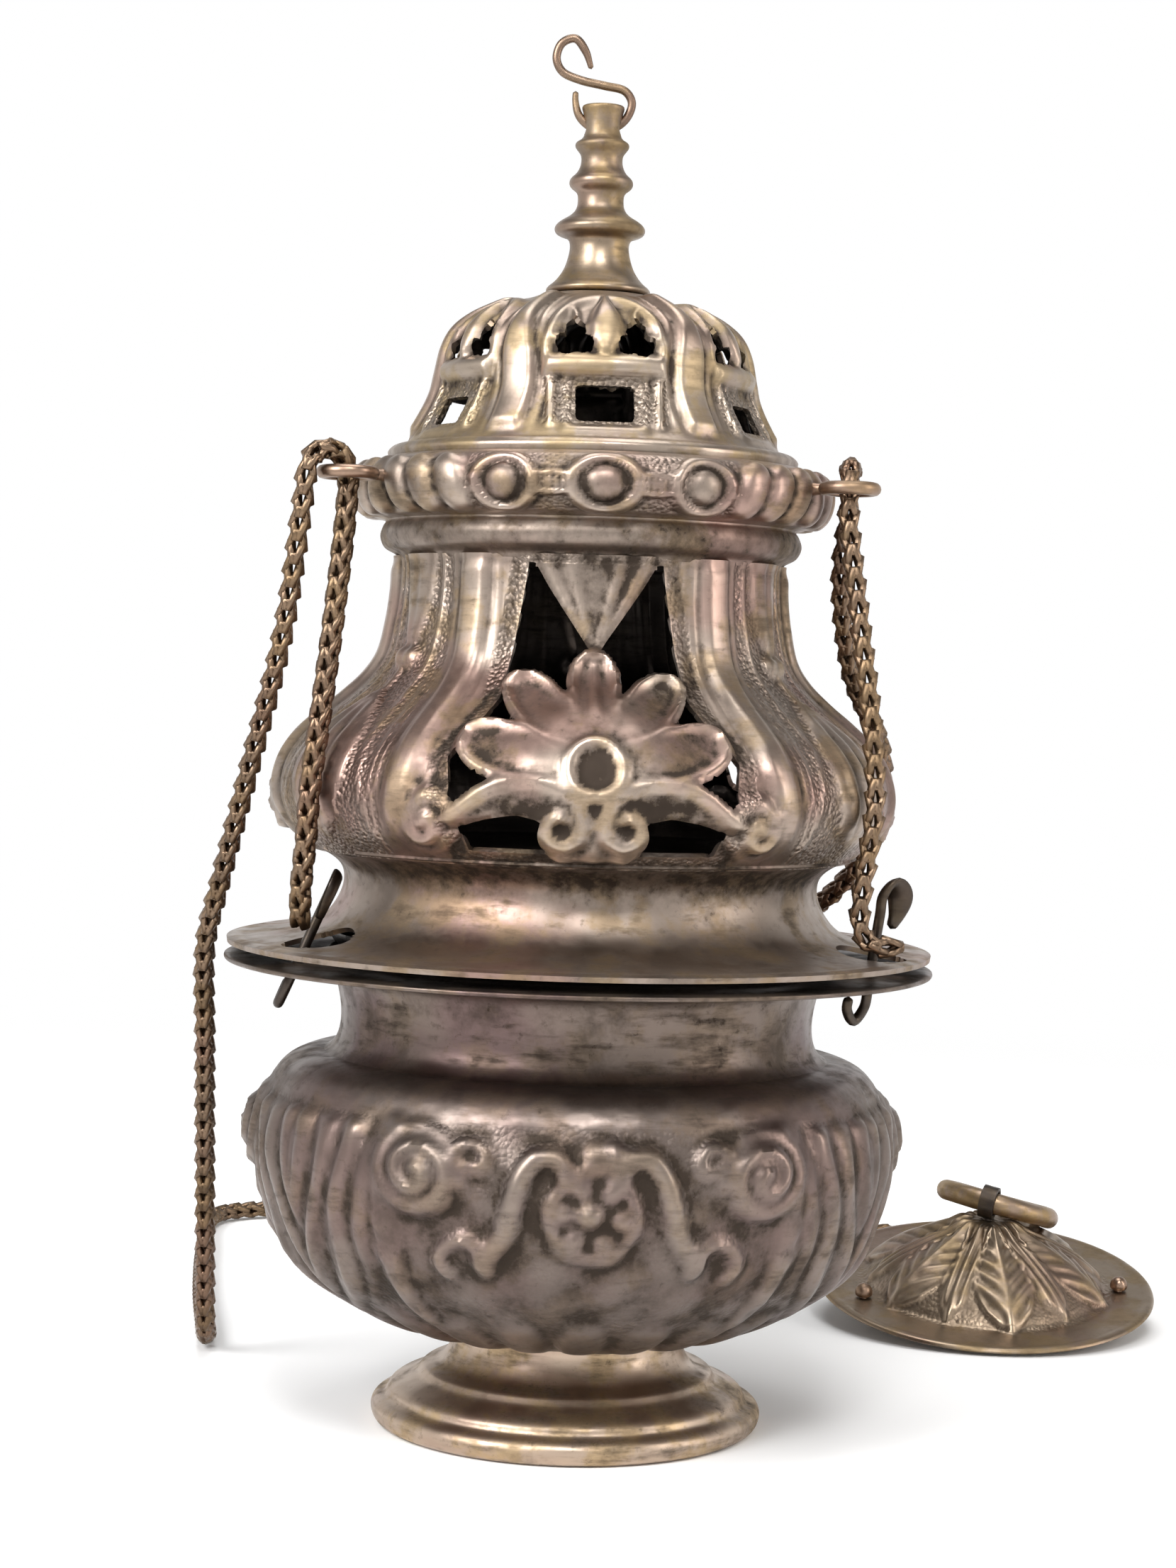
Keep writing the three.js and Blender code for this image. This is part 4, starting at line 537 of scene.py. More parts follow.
def chased_sheet(name, outline, rows, columns, work, sheet, finishes, turn=0, parts=3,
                 place=on_axis):
    """A sheet worked into relief round an axis, with its thickness inwards.

    A point of the outline (r, z) stands at (r sin a, -r cos a, z), moved square to the outline by
    the relief. work is given a as a row, in degrees from a front's middle, and r and z as columns.
    It gives the relief, how far each place lies inside the metal, s (below zero is an opening),
    and the shares of stippling and stain; on some pieces the stain also holds painted shade.
    Points close to an edge move onto it by -s grad s / |grad s|^2, and a face stays where its
    corners lie in metal."""
    line = smooth_line(outline, rows)
    rise = np.gradient(line, axis=0)
    rise /= np.linalg.norm(rise, axis=1)[:, None]
    r, z = line[:, :1], line[:, 1:]
    local = (np.arange(columns) / columns - 0.5) * 360 / parts
    relief, metal_in, grain, stain = (
        np.tile(np.broadcast_to(np.asarray(field, float), (rows, columns)), (1, parts))
        for field in work(local[None, :], r, z))
    relief = softened(relief, 1)
    a = np.radians((np.arange(columns * parts) / columns - 0.5) * 360 / parts + turn)[None, :]
    radius, level = r + rise[:, 1:] * relief, z - rise[:, :1] * relief
    points = np.stack([radius * np.sin(a), -radius * np.cos(a), level + 0 * a], -1)
    cell_round = r * 2 * np.pi / (columns * parts)
    cell_up = np.linalg.norm(line[1] - line[0])
    slope_round = (np.roll(metal_in, -1, 1) - np.roll(metal_in, 1, 1)) / (2 * cell_round)
    slope_up = np.gradient(metal_in, axis=0) / cell_up
    steep = slope_round**2 + slope_up**2 + 1e-9
    move_round, move_up = -metal_in * slope_round / steep, -metal_in * slope_up / steep
    snapped = np.hypot(move_round / cell_round, move_up / cell_up) < 0.7
    move_round, move_up = move_round * snapped, move_up * snapped
    points[..., 0] += move_round * np.cos(a) + move_up * rise[:, :1] * np.sin(a)
    points[..., 1] += move_round * np.sin(a) - move_up * rise[:, :1] * np.cos(a)
    points[..., 2] += move_up * rise[:, 1:]
    sign = np.where(snapped, 0, np.sign(metal_in)).ravel()
    quads = grid_faces(rows, columns * parts, False, True)
    total = sign[quads].sum(1)
    quads = quads[(total > 0) | ((total == 0) & (metal_in.ravel()[quads].mean(1) > 0))]
    used, quads = np.unique(quads, return_inverse=True)
    near, broad = softened(relief, 6), softened(relief, 22)
    hollow = np.maximum((near - relief) / 0.5, (broad - relief) / 1.1)
    # The hollow mark darkens the metal: it holds the relief's hollows, where tarnish gathers, and
    # the work's stain, which on some pieces is painted shade.
    marks = {"hollow": np.clip(hollow + stain, 0, 1),
             "crest": np.clip((relief - broad) / 1.1, 0, 1), "grain": grain}
    piece = made(name, finishes, (place(points.reshape(-1, 3)[used]), quads.reshape(-1, 4)),
                 marks={mark: values.ravel()[used] for mark, values in marks.items()})
    wall = piece.modifiers.new("wall", "SOLIDIFY")
    wall.thickness, wall.offset, wall.material_offset = sheet / 1000, -1, len(finishes) - 1
    kept_result(piece, 48)
    return piece


def bowl_work(a, r, z):
    """One third of the bowl: x across and y up from the flower's middle, m across from the middle
    line, and arc along the sheet for what lies far out round the side."""
    x, y = r * np.sin(np.radians(a)), z - FLOWER_HEIGHT + 0 * a
    m, arc = np.abs(x), np.radians(np.abs(a)) * r
    # the flower: six petals and a knob in a waved ring, and the shell over it
    ring = np.hypot(x, y)
    petals = np.cos(6 * np.arctan2(y, x) + math.radians(40))
    flower = (1.9 * bump(ring - FLOWER_RING_R - 0.3 * petals, 1.3)
              + (2.2 * (0.5 + 0.5 * petals) * bump(ring - 5.2, 3.2) + 0.4) * fade(8 - ring, 0, 0.8)
              + 2.9 * cushion(np.hypot(x + 0.6, y - 0.5), 2.6))
    shell_x, shell_y = SHELL_MIDDLE
    shell = 2.2 * cushion(np.hypot((x - shell_x) / 1.15, y - shell_y), 4.2)
    shell = (shell - 0.9 * bump(x - 1.6, 0.8)) * fade(ring, 8.2, 9.2)
    # the scrolls, the volutes and the leaf beside them
    boss, _ = volute(m, y, BOWL_VOLUTE, 8.4, 3.8, (7.4, 0.9, 215, -1.9), 1.25)
    small_curl = curl(SMALL_CURL, 4.1, 0.8, -60, 1.15)
    leaf, leaf_in = scroll(arc, y, SIDE_LEAF, 4.4, 1.0, 1.6)
    distance, share = near_line(arc, y, smooth_line(SIDE_LEAF, 30))
    veins = 0.35 * np.cos(share * 42 + distance * 1.1) * fade(leaf_in, 0.4, 1.6)
    # the flutes of the side, and a low row of leaves over the foot
    flow = (arc - FLUTES_MIDDLE + 9 * fade(-y, -12, 26) + 0.3 * y
            + 1.8 * np.sin(y / 6 + arc / 9))
    waves = np.abs(np.cos(flow * np.pi / FLUTE_WIDE))
    uneven = 1 + 0.3 * np.sin(arc * 0.5) * np.sin(y * 0.23 + 1)
    flutes = (1.6 * waves ** 0.8 * uneven
              + 0.35 * np.cos(flow * 6 * np.pi / FLUTE_WIDE) * fade(waves, 0.2, 0.5))
    flutes = flutes * fade(arc, 40, 46) * within(z, 20, 27, 63.5, 66)
    across_leaf = np.radians((a + 7.5) % 15 - 7.5) * r
    low_leaves = (1.1 * within(z, 19, 22, 27, 31)
                  * cushion(across_leaf, 4.6 * cushion(z - 25, 6.2) + 0.05))
    relief = highest(0 * x, flower, shell, scroll(m, y, C_SCROLL, 1.9, 2.0, 2.9)[0],
                     scroll(m, y, FOOT_HOOK, 1.6, 0.9, 2.4)[0], boss,
                     scroll(m, y, small_curl, 1.4, 0.8, 2.2)[0], leaf + veins, flutes, low_leaves)
    # the stippled ground, a little uneven, and the soldered edge above
    chased = 1 - fade(z, 65.6, 66.6)
    ground = 1 - fade(relief, 0.05, 0.35)
    swell = 0.35 * np.sin(x * 0.43 + 2 * np.sin(y * 0.21)) * np.sin(y * 0.37 + x * 0.11)
    ragged = 0.35 * np.sin(a * 0.9) + 0.25 * np.sin(a * 2.3 + 1)
    solder = 0.55 * bump(z - SOLDER_HEIGHT - ragged, 0.8)
    relief = (relief + swell * ground) * chased + solder + 0.25 * fade(z, 67.2, 68)
    # Painted shade: the bowl is darkened from the middle of its belly down towards the foot,
    # standing in for the dark surroundings its lower half reflects. The even 0.1 over the chased
    # part is tarnish.
    stain = 0.42 * (1 - fade(z, 27, 52)) * fade(z, 20, 24) + 0.1 * chased
    return relief, 1, 0.3 * ground * chased * fade(z, 24, 30), stain


# The bowl's metal is painted darker than the cover's: partly tarnish, partly painted shade standing
# in for the dark surroundings the bowl reflects.
bowl_metal = metal("bowl_metal", (0.178, 0.143, 0.126), (0.164, 0.116, 0.104),
                   (0.176, 0.119, 0.07), tarnish=0.75, wear=0.35, wobble=0.4, marked=True)
soot = metal("soot", (0.06, 0.05, 0.045), (0.05, 0.04, 0.035), (0.09, 0.07, 0.05),
             dark=(0.012, 0.01, 0.009), tarnish=1.0, wear=0.3, wobble=0.2)
bowl = chased_sheet("bowl_sheet", BOWL_OUTLINE, 100, 162, bowl_work, 1.2, (bowl_metal, soot),
                    turn=BOWL_TURN)
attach(bowl, "bowl")
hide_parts("bowl")


# Bowl's neck and flange
# A drawn-in neck soldered on the bowl, spread into a flat flange that the chains' hooks pass
# through, with a low lip that the cover sits round.
HOOK_ANGLES = {"left": -63, "right": 68, "back": 182}
HOOK_RADIUS = 60
NECK_OUTSIDE = [(50, 72.6), (48.6, 73.4), (47.1, 75.4), (46.5, 79), (46.9, 83.2), (48, 87.4),
                (50.4, 89.6), (54, 90.2), (60, 90.3), (66, 90.3), (69.6, 90.3), (70, 90.8),
                (69.8, 91.4), (66, 91.6), (58, 91.6), (51.4, 91.6)]
NECK_INSIDE = [(49.6, 92), (49.3, 93), (48.4, 93.2), (47.6, 92.6), (47, 90), (46, 86.4),
               (45.2, 81), (45.4, 77), (46.6, 74), (47.6, 72.6)]

# The neck's metal is painted darker than the cover's: partly tarnish, partly painted shade standing
# in for the dark surroundings it reflects.
neck_metal_painted_darker = metal("neck_metal_painted_darker", (0.165, 0.13, 0.11), (0.14, 0.095, 0.09), (0.19, 0.135, 0.08),
                   tarnish=0.9, wear=0.3, wobble=0.35)
neck = made("bowl_neck", [neck_metal_painted_darker],
            turned(np.vstack([rounded(NECK_OUTSIDE), rounded(NECK_INSIDE)])), sharp=50)
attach(neck, "bowl")
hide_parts("bowl_collar")


# Charcoal pan
# A loose pan of pressed sheet iron with a rounded rim. It stands in the bowl and holds the burning
# charcoal.
PAN_SECTION = [(0.01, 20), (19.6, 20), (21.5, 20.6), (29.5, 26.4), (35.2, 35), (38.4, 46),
               (39.2, 53.6), (38.6, 54), (38, 53.6), (37, 46), (33.8, 36), (28.4, 28), (20.6, 22),
               (18.6, 21.4), (0.01, 21.4)]

pan_iron = metal("pan_iron", (0.09, 0.08, 0.075), (0.10, 0.07, 0.055), (0.12, 0.08, 0.05),
                 tarnish=0.9)
pan = made("pan_shell", [pan_iron], turned(rounded(PAN_SECTION), 96), weld=True, sharp=50)
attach(pan, "charcoal_pan")
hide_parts("charcoal_pan")


# Hooks through the flanges
# Three S-shaped hooks of dark wire, curled under the bowl's flange and again over the cover's, so
# that they carry the bowl on its chains. The right one's upper end is hammered flat.
HOOK_TURNS = {"left": 22, "right": 28, "back": 20}
HOOK_LEANS = {"left": 23, "right": -11, "back": -6}
HOOK_FLATTENED = {"left": 0.5, "right": 1.5, "back": 0.5}
HOOK_HEIGHT = 90.95
HOOK_CURL_R = 2.3
HOOK_RISE = 20
HOOK_DROP = 9
HOOK_WIRE_R = 1.0
HOOK_STEPS = 90


def wire(line, radius, sides=12, flat=None):
    """A round wire along a line, closed at both ends by half balls: rings of the radius, which
    falls to nothing over its last two rings. flat gives each ring its two half widths instead."""
    _, side, third = carried_frames(line)
    run = length_along(line)
    radius = np.broadcast_to(radius, len(line)).astype(float)
    widths = np.column_stack([radius, radius]) if flat is None else flat
    to_end = np.minimum(run, run[-1] - run)
    widths = widths * np.sqrt(np.clip(1 - (1 - np.clip(to_end / radius, 0, 1)) ** 2, 0, 1))[:, None]
    a = (np.arange(sides) * 2 * np.pi / sides)[None, :, None]
    points = (line[:, None] + widths[:, :1, None] * np.cos(a) * side[:, None]
              + widths[:, 1:, None] * np.sin(a) * third[:, None])
    return points.reshape(-1, 3), grid_faces(len(line), sides, False, True)


def hook_line(side):
    """The line of a flange hook in its own leaning plane, from its lower curl to its upper."""
    turn, lean = math.radians(HOOK_ANGLES[side] - HOOK_TURNS[side]), math.radians(HOOK_LEANS[side])
    along = np.array([math.cos(turn), math.sin(turn), 0])
    up = np.array([-math.sin(turn) * math.sin(lean), math.cos(turn) * math.sin(lean),
                   math.cos(lean)])
    c, top, low = HOOK_CURL_R, HOOK_RISE - HOOK_WIRE_R, HOOK_WIRE_R - HOOK_DROP
    line = smooth_line([(-2 * c, low + 5), (-2 * c, low + 2.4), (-c, low), (0, low + 2.6), (0, 0),
                        (0, top - 6), (0, top - 2.4), (c, top), (2 * c, top - 2.4),
                        (2 * c, top - 6), (1.5 * c, top - 9)], HOOK_STEPS)
    return (around(HOOK_RADIUS, HOOK_ANGLES[side], HOOK_HEIGHT) + AXIS
            + line[:, :1] * along + line[:, 1:] * up)


dark_wire = metal("dark_wire", (0.068, 0.056, 0.048), (0.08, 0.056, 0.04), (0.12, 0.088, 0.052),
                  tarnish=0.7, wear=0.4, wobble=0.1)
for side, flattened in HOOK_FLATTENED.items():
    near_top = bump(np.linspace(0, 1, HOOK_STEPS) - 0.84, 0.17)
    flat = HOOK_WIRE_R * np.column_stack([1 - 0.35 * near_top, 1 + flattened * near_top])
    hook = made(f"hook_{side}", [dark_wire], wire(hook_line(side), HOOK_WIRE_R, 12, flat),
                weld=True)
    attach(hook, f"flange_hook_{side}")
    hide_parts(f"flange_hook_{side}")


# Cover's neck and flange
# The cover's lowest part: a thin flange that lies on the bowl's, with a slot round each hook, and a
# neck swept in and out again to carry the belly. A low ring soldered under it keeps it in place.
COVER_SLOPE = [(69.5, 94.6), (66, 95), (60.6, 95.6), (56, 96.5), (51.6, 98.2), (48.6, 101.4),
               (46.9, 105.6), (47.3, 108.8), (50, 111.3), (54.4, 112.9)]
SPIGOT_SECTION = [(46.3, 89), (46.3, 93.5), (47.2, 94.2), (49, 94.3), (49, 97), (46, 96.6),
                  (45, 94), (45, 89)]
SLOT_HALF_LONG, SLOT_HALF_DEEP = 7.5, 6.7
SLOT_SHIFTS = {"left": (5, 2), "right": (0, -0.4), "back": (0, 0)}
RIM_LINE_R = 67.6


def cover_neck_work(a, r, z):
    """Openings round the three hooks, each an ellipse lying round the axis."""
    metal_in = 50
    for side, (turn, inset) in SLOT_SHIFTS.items():
        off = np.radians((a - HOOK_ANGLES[side] - turn + 180) % 360 - 180) * r / SLOT_HALF_LONG
        out = (r - HOOK_RADIUS + inset) / SLOT_HALF_DEEP
        metal_in = np.minimum(metal_in, (np.hypot(off, out) - 1) * SLOT_HALF_DEEP)
    stain = 0.1 + 0.6 * fade(z, 103, 110) * (0.75 + 0.25 * np.cos(np.radians(a - 20)))
    return 0.25 * bump(r - RIM_LINE_R, 1.2), metal_in, 0, stain


cover_metal = metal("cover_metal", (0.34, 0.276, 0.23), (0.317, 0.207, 0.175),
                    (0.313, 0.216, 0.11), tarnish=0.7, wear=0.55, marked=True)
cover_neck = chased_sheet("cover_neck", COVER_SLOPE, 70, 360, cover_neck_work, 1.0,
                          (cover_metal, soot), parts=1)
spigot = made("cover_spigot", [soot], turned(rounded(SPIGOT_SECTION, 1)), sharp=50)
for piece in (cover_neck, spigot):
    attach(piece, "cover")
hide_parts("cover_collar")


# Cover's belly
# The swelling part of the cover, raised from one sheet, chased, and sawn through for the smoke: on
# each of three fronts a palmette on two scrolls stands in a tall opening under a fluted drop, and
# S-shaped pilasters run down between the openings and curl up at their feet.
BELLY_OUTLINE = [(53.4, 112.4), (54.2, 113.3), (57.6, 117.2), (59.9, 123.8), (58.9, 129.4),
                 (56.2, 133.8), (51.8, 138), (47.4, 141.6), (42.9, 146), (40.1, 150.4),
                 (38.5, 157), (37.7, 163.4), (37.6, 170)]
BELLY_TURN = 2
BOSS_HEIGHT = 129.8
OPENING_LOW, OPENING_TOP = 115.2, 168.4
OPEN_HEIGHTS = [115, 118.5, 124, 132, 137, 143, 152, 163, 167.5]
OPEN_HALVES = [22, 23.5, 26, 26.5, 22, 17.2, 15, 13.2, 12.6]
UPPER_PETAL = 90.5
PETALS = {11: (25.2, 5.2), 169: (25.2, 5.2), 48: (22.8, 5.2), 132: (22.8, 5.2),
          UPPER_PETAL: (22.4, 5.0)}
PETAL_ROOT_HALF = 3.2
PILASTER_HEIGHTS = [113, 122, 131, 141, 150, 160, 170]
PILASTER_ANGLES = [35.6, 36.4, 35.2, 35.2, 35.6, 36, 36.5]
PILASTER_HALF = 3.7
PILASTER_FOOT = (31.0, 120.4)
DROP_LOW = 151.8
SCROLL_END = 26.5
SCROLL_LIP = [(25.6, -8.2), (21.8, -5.0), (17.2, -2.6), (12, -1.9), (8, -2.4), (4.6, -3.9),
              (2.0, -6.6), (1.8, -9.6), (3.8, -12), (6.8, -11.8), (8.2, -9.6), (7.2, -7.4),
              (5.2, -7.6)]


def petal(x, y, angle, length, half):
    """How far inside a petal each place is, and its own coordinates: its edge is a little off its
    middle line at the root, half at seven tenths of its length, and round at its tip."""
    a = math.radians(angle)
    along, across = x * math.cos(a) + y * math.sin(a), y * math.cos(a) - x * math.sin(a)
    t = np.clip(along / length, 0, 1)
    width = PETAL_ROOT_HALF + (half - PETAL_ROOT_HALF) * fade(t, 0.05, 0.7)
    width = width * np.sqrt(np.clip(1 - (np.clip(t - 0.68, 0, 1) / 0.32) ** 2, 0, 1))
    return np.minimum(width - np.abs(across), np.minimum(length - along, along + 2)), t, across


def belly_work(a, r, z):
    """One third of the belly: x across and y up from the palmette's boss, m across and away round
    from the middle line, off from a pilaster's middle and panel from the middle between two."""
    x, y = r * np.sin(np.radians(a)), z - BOSS_HEIGHT + 0 * a
    m, away = np.abs(x), np.abs(a)
    opening = np.minimum(np.interp(z, OPEN_HEIGHTS, OPEN_HALVES) - m,
                         np.minimum(z - OPENING_LOW, OPENING_TOP - z))
    strip = within(-opening, 0, 0.5, 2.8, 3.4)
    # the pilaster with strands beside it, and its foot
    off = np.radians(away - np.interp(z, PILASTER_HEIGHTS, PILASTER_ANGLES)) * r
    edge = PILASTER_HALF - np.abs(off)
    strands = (0.8 * bump(edge + 1.0, 0.9) + (0.7 * bump(off - PILASTER_HALF - 2.7, 0.8)
               + 0.6 * bump(off - PILASTER_HALF - 4.3, 0.8)) * (1 - fade(z, 143, 150)))
    pilaster = 1.4 * fade(edge, 0, 1.3) + 0.5 * cushion(off, PILASTER_HALF) + strands
    pilaster = pilaster * fade(z, 112.6, 123) * (1 - 0.5 * fade(z, 167, 170))
    foot, foot_off = volute(np.radians(away) * r, y + BOSS_HEIGHT, PILASTER_FOOT, 6.6, 3.2,
                            (5.6, 0.8, 60, -1.7), 1.0)
    relief = highest(0.5 * bump(opening + 0.7, 0.7), pilaster, foot)
    # the panel between two pilasters: a leaf over a heart, a stem and a fan, in a raised line
    panel = np.radians(60 - away) * r
    leaf_half = np.interp(z, [150, 154, 162, 170], [0.2, 2.6, 5.0, 5.8])
    leaf = 1.3 * cushion(panel, leaf_half) * fade(z, 151, 153) - 0.6 * bump(panel, 0.7)
    heart = 1.8 * cushion(np.hypot(panel - 1.6, z - 150), 2.3)
    fan_half = np.interp(z, [116, 120, 128, 136, 141, 144], [3, 8, 10.5, 9, 4, 0.3])
    fan_spread = panel / fan_half
    fan = (1.2 + 0.5 * np.cos(fan_spread * 4 * np.pi)) * fade(1 - np.abs(fan_spread), 0, 0.14)
    stem = bump(panel, 1.2) * within(z, 141, 143, 149, 151)
    frame_line = 0.7 * bump(panel - np.interp(z, [116, 130, 145, 170], [17, 13.5, 7.5, 7.4]), 0.9)
    between_them = fade(off, PILASTER_HALF + 1.2, PILASTER_HALF + 2.2)
    relief = np.maximum(relief, between_them * highest(
        leaf, heart, fan * within(z, 112.6, 124, 142, 145), stem, frame_line))
    grain = np.maximum(0.9 * strip, 0.8 * between_them * (1 - fade(relief, 0.1, 0.5)))
    # the fluted drop over the palmette
    drop_half = np.interp(z, [DROP_LOW, 154, 157, 160, 164, 168.5], [0.9, 2.2, 4.2, 6.2, 8.8, 11.4])
    drop_in = np.minimum(drop_half - m, z - DROP_LOW)
    spread = x / drop_half
    flutes = 0.7 + 0.35 * np.cos(spread * 5 * np.pi) - 0.5 * bump(spread, 0.16)
    beads = 0.3 * np.cos(z * 3.4) * bump(drop_in - 0.8, 0.9)
    relief = np.maximum(relief * (1 - fade(drop_in, -0.6, 0)),
                        (flutes + beads) * fade(drop_in, -0.4, 0.5))
    # the palmette, each petal hollow with a raised edge
    palm, palm_in = 0, -9
    for angle, (length, half) in PETALS.items():
        inside, t, across = petal(x, y, angle, length, half)
        rise = (2.0 + 0.7 * bump(inside - 0.8, 0.9)
                - 1.2 * fade(inside, 1, 2.8) * fade(t, 0.4, 0.85)
                + 0.5 * cushion(across, 3.0) * (1 - fade(t, 0.35, 0.7)))
        if angle == UPPER_PETAL:
            rise = rise + 0.9 * bump(across, 0.9) * fade(t, 0.3, 0.5)
        palm = np.maximum(palm, rise * fade(inside, -0.35, 0.5))
        palm_in = np.maximum(palm_in, inside)
    relief = np.maximum(relief * (1 - fade(palm_in, -0.5, 0.2)), palm)
    # the cup under the boss, and the two scrolls: a lip above, and a hollow leaf under it
    cup_in = (1 - np.hypot(x / 9.8, (y + 10.6) / 6.7)) * 6.7
    cup = 1.7 + 0.7 * bump(cup_in - 0.7, 0.8) + 0.4 * np.cos(x * 1.25) * fade(-y, 10, 13)
    relief = np.maximum(relief, cup * fade(cup_in, -0.2, 0.6))
    top = np.interp(m, [3, 7.5, 12, 17.2, 21.8, 25, SCROLL_END],
                    [-4.6, -2.4, -1.6, -2.4, -4.9, -7.8, -9.4])
    low = np.interp(m, [5, 9, 14, 19, 23, 25.5, SCROLL_END],
                    [-12.5, -8.6, -7.6, -8.4, -9.6, -9.8, -9.4])
    leaf_in = -highest(y - top - 0.9, low - y, 5.5 - m, m - SCROLL_END)
    leaf_rise = 0.5 + 1.7 * fade(y - top, -5.5, -0.5) + 0.5 * bump(leaf_in - 0.6, 0.7)
    relief = np.maximum(relief * (1 - fade(leaf_in, -0.4, 0)),
                        leaf_rise * fade(leaf_in, -0.2, 0.5))
    band, band_in = scroll(m, y, SCROLL_LIP, 1.2, 1.0, 1.5)
    relief = np.maximum(relief, 2.0 * fade(band_in, -0.3, 0.3) + band)
    # the boss, a ringed dish
    ring = np.hypot(x, y * 1.14)
    boss = 3.0 + 1.3 * bump(ring - 4.8, 1.0) - 1.1 * fade(4.4 - ring, 0, 1.4)
    boss_share = fade(6.0 - ring, 0, 0.9)
    relief = relief * (1 - boss_share) + boss * boss_share
    # the relief runs out at the foot, sooner under the opening than beside it
    beside = fade(m, 20, 27)
    relief = relief * ((1 - beside) * fade(z, 113.4, 115.4) + beside * fade(z, 112.8, 118))
    relief = relief + 0.5 * fade(z, 168.6, 170)
    plain = np.where(highest(cup_in, leaf_in, band_in) > 0, 0, 1 - fade(palm_in, -0.5, 0))
    # Part of this is painted shade: the hollow leaf under each scroll's lip is darkened below its
    # raised upper edge, as the shade in its hollow under the lip. The other terms darken the strip
    # round the opening, the boss's middle, the belly's lowest part, the drop and the palmette.
    stain = (0.4 * strip + 0.25 * (1 - fade(ring, 3.2, 4.6)) + 0.3 * (1 - fade(z, 114, 120))
             + 0.5 * fade(leaf_in, -0.5, 0.5) * (1 - fade(y - top, -3, -0.5))
             + 0.6 * fade(drop_in, -0.3, 0.3) + 0.3 * fade(palm_in, -0.3, 0.3))
    metal_in = highest(-opening, 6.4 - foot_off, drop_in, palm_in, cup_in, leaf_in, band_in,
                       5.8 - ring)
    return relief, metal_in, grain * plain, stain


belly = chased_sheet("cover_belly_sheet", BELLY_OUTLINE, 113, 144, belly_work, 1.1,
                     (cover_metal, soot), turn=BELLY_TURN)
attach(belly, "cover")
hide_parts("cover_belly")


# Cornice belt
# A cornice soldered between the belly and the dome: a plain rounded moulding, then a swelling band
# of ringed eggs, framed links and slanting lobes.
BELT_OUTLINE = [(37.9, 169.3), (38.6, 170.4), (40.9, 171.8), (41.8, 174), (41.2, 176),
                (40.7, 176.9), (43.2, 177.9), (45.3, 180), (46.3, 183), (46, 185.6),
                (44.3, 187.9), (41.6, 189.2)]
BELT_TURN = 3
BAND_R = 47
EGG_LEVEL = 182.9
EGGS = {0: 1.0, 19.6: 0.9, -19.6: 0.9}
LINKS_AT = 9.9
LOBES = {30.8: 3.6, 38.2: 3.7, 45.6: 3.6}
EGGS_REACH = 27


def belt_work(a, r, z):
    """One third of the belt: s is measured along the band from its middle, y up from the eggs."""
    s, y = np.radians(a) * BAND_R, z - EGG_LEVEL + 0 * a
    relief, stain = 0 * s, 0
    for middle, stretch in EGGS.items():
        u = (s - middle) / stretch
        ring, egg = np.hypot(u / 7.7, y / 5.5), np.hypot(u / 4.3, y / 3.3)
        relief = highest(relief, 1.5 * bump((ring - 0.76) * 6.6, 0.7),
                         1.1 * fade(1.03 - ring, 0, 0.06) * fade(ring, 0.76, 0.8),
                         1.7 * cushion(egg, 1.0))
        stain = np.maximum(stain, 0.55 * (1 - fade(egg, 0.8, 1.1)))
    for off in (s - LINKS_AT, s + LINKS_AT):
        box = np.maximum(np.abs(off) / 1.7, np.abs(y) / 2.1)
        bars = bump(np.abs(y) - 1.7, 0.6) * fade(2.9 - np.abs(off), 0, 0.6)
        relief = highest(relief, bump((box - 0.85) * 1.9, 0.7) + 0.5 * (box < 0.5), 0.9 * bars)
    lobe_s = np.abs(s) - 2.0 * np.sin(y / 6)
    for middle, half in LOBES.items():
        lobe = np.hypot((lobe_s - middle) / half, np.clip(np.abs(y) - 2.2, 0, 9) / 3.2)
        relief = np.maximum(relief, 1.9 * cushion(lobe, 1.0) ** 0.8)
    band = within(z, 177.2, 178.6, 187.6, 188.8)
    eggs_band = band * (np.abs(s) < EGGS_REACH)
    relief = relief * band
    grain = 0.6 * eggs_band * (1 - fade(relief, 0.1, 0.4))
    moulding = 0.1 * np.sin(np.radians(a) * 9) * bump(z - 174, 3)
    return relief + moulding, 1, grain, stain + 0.2 * eggs_band + 0.5 * (1 - fade(z, 175.5, 177.5))


belt = chased_sheet("cornice_belt_sheet", BELT_OUTLINE, 76, 150, belt_work, 1.3,
                    (cover_metal, soot), turn=BELT_TURN)
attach(belt, "cover")
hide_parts("cornice_belt")


# Chain eyes
# Three cast eyes lying level, each on a flat tapering arm that is riveted through the belt.
EYE_RING_R = 4.7
EYE_WIRE_R = 1.3
ARM_END_R = 16.4
ARM_WIRE_R = 1.2


def hoop(radius, wire_radius, steps, sides, first=0.0, uneven=0.0):
    """A ring of round wire lying level: its middle line is (R cos t, R sin t, 0) from the angle
    first, and its wire is thicker and thinner by the share uneven three times round."""
    t = np.arange(steps) * 2 * np.pi / steps + first
    u = (np.arange(sides) * 2 * np.pi / sides)[None, :, None]
    outward = np.column_stack([np.cos(t), np.sin(t), 0 * t])[:, None]
    thick = wire_radius * (1 + uneven * np.sin(3 * t))[:, None, None]
    points = radius * outward + thick * (np.cos(u) * outward + np.sin(u) * np.array([0, 0, 1.0]))
    return points.reshape(-1, 3), grid_faces(steps, sides, True, True)


def turning(axis, degrees):
    """The matrix of a turn about x (0), y (1) or z (2)."""
    matrix = np.eye(3)
    i, j = (axis + 1) % 3, (axis + 2) % 3
    matrix[i, i] = matrix[j, j] = math.cos(math.radians(degrees))
    matrix[j, i] = math.sin(math.radians(degrees))
    matrix[i, j] = -matrix[j, i]
    return matrix


def upright(low, high, count):
    """A straight upright line from low to high."""
    return np.column_stack([np.zeros(count), np.zeros(count), np.linspace(low, high, count)])


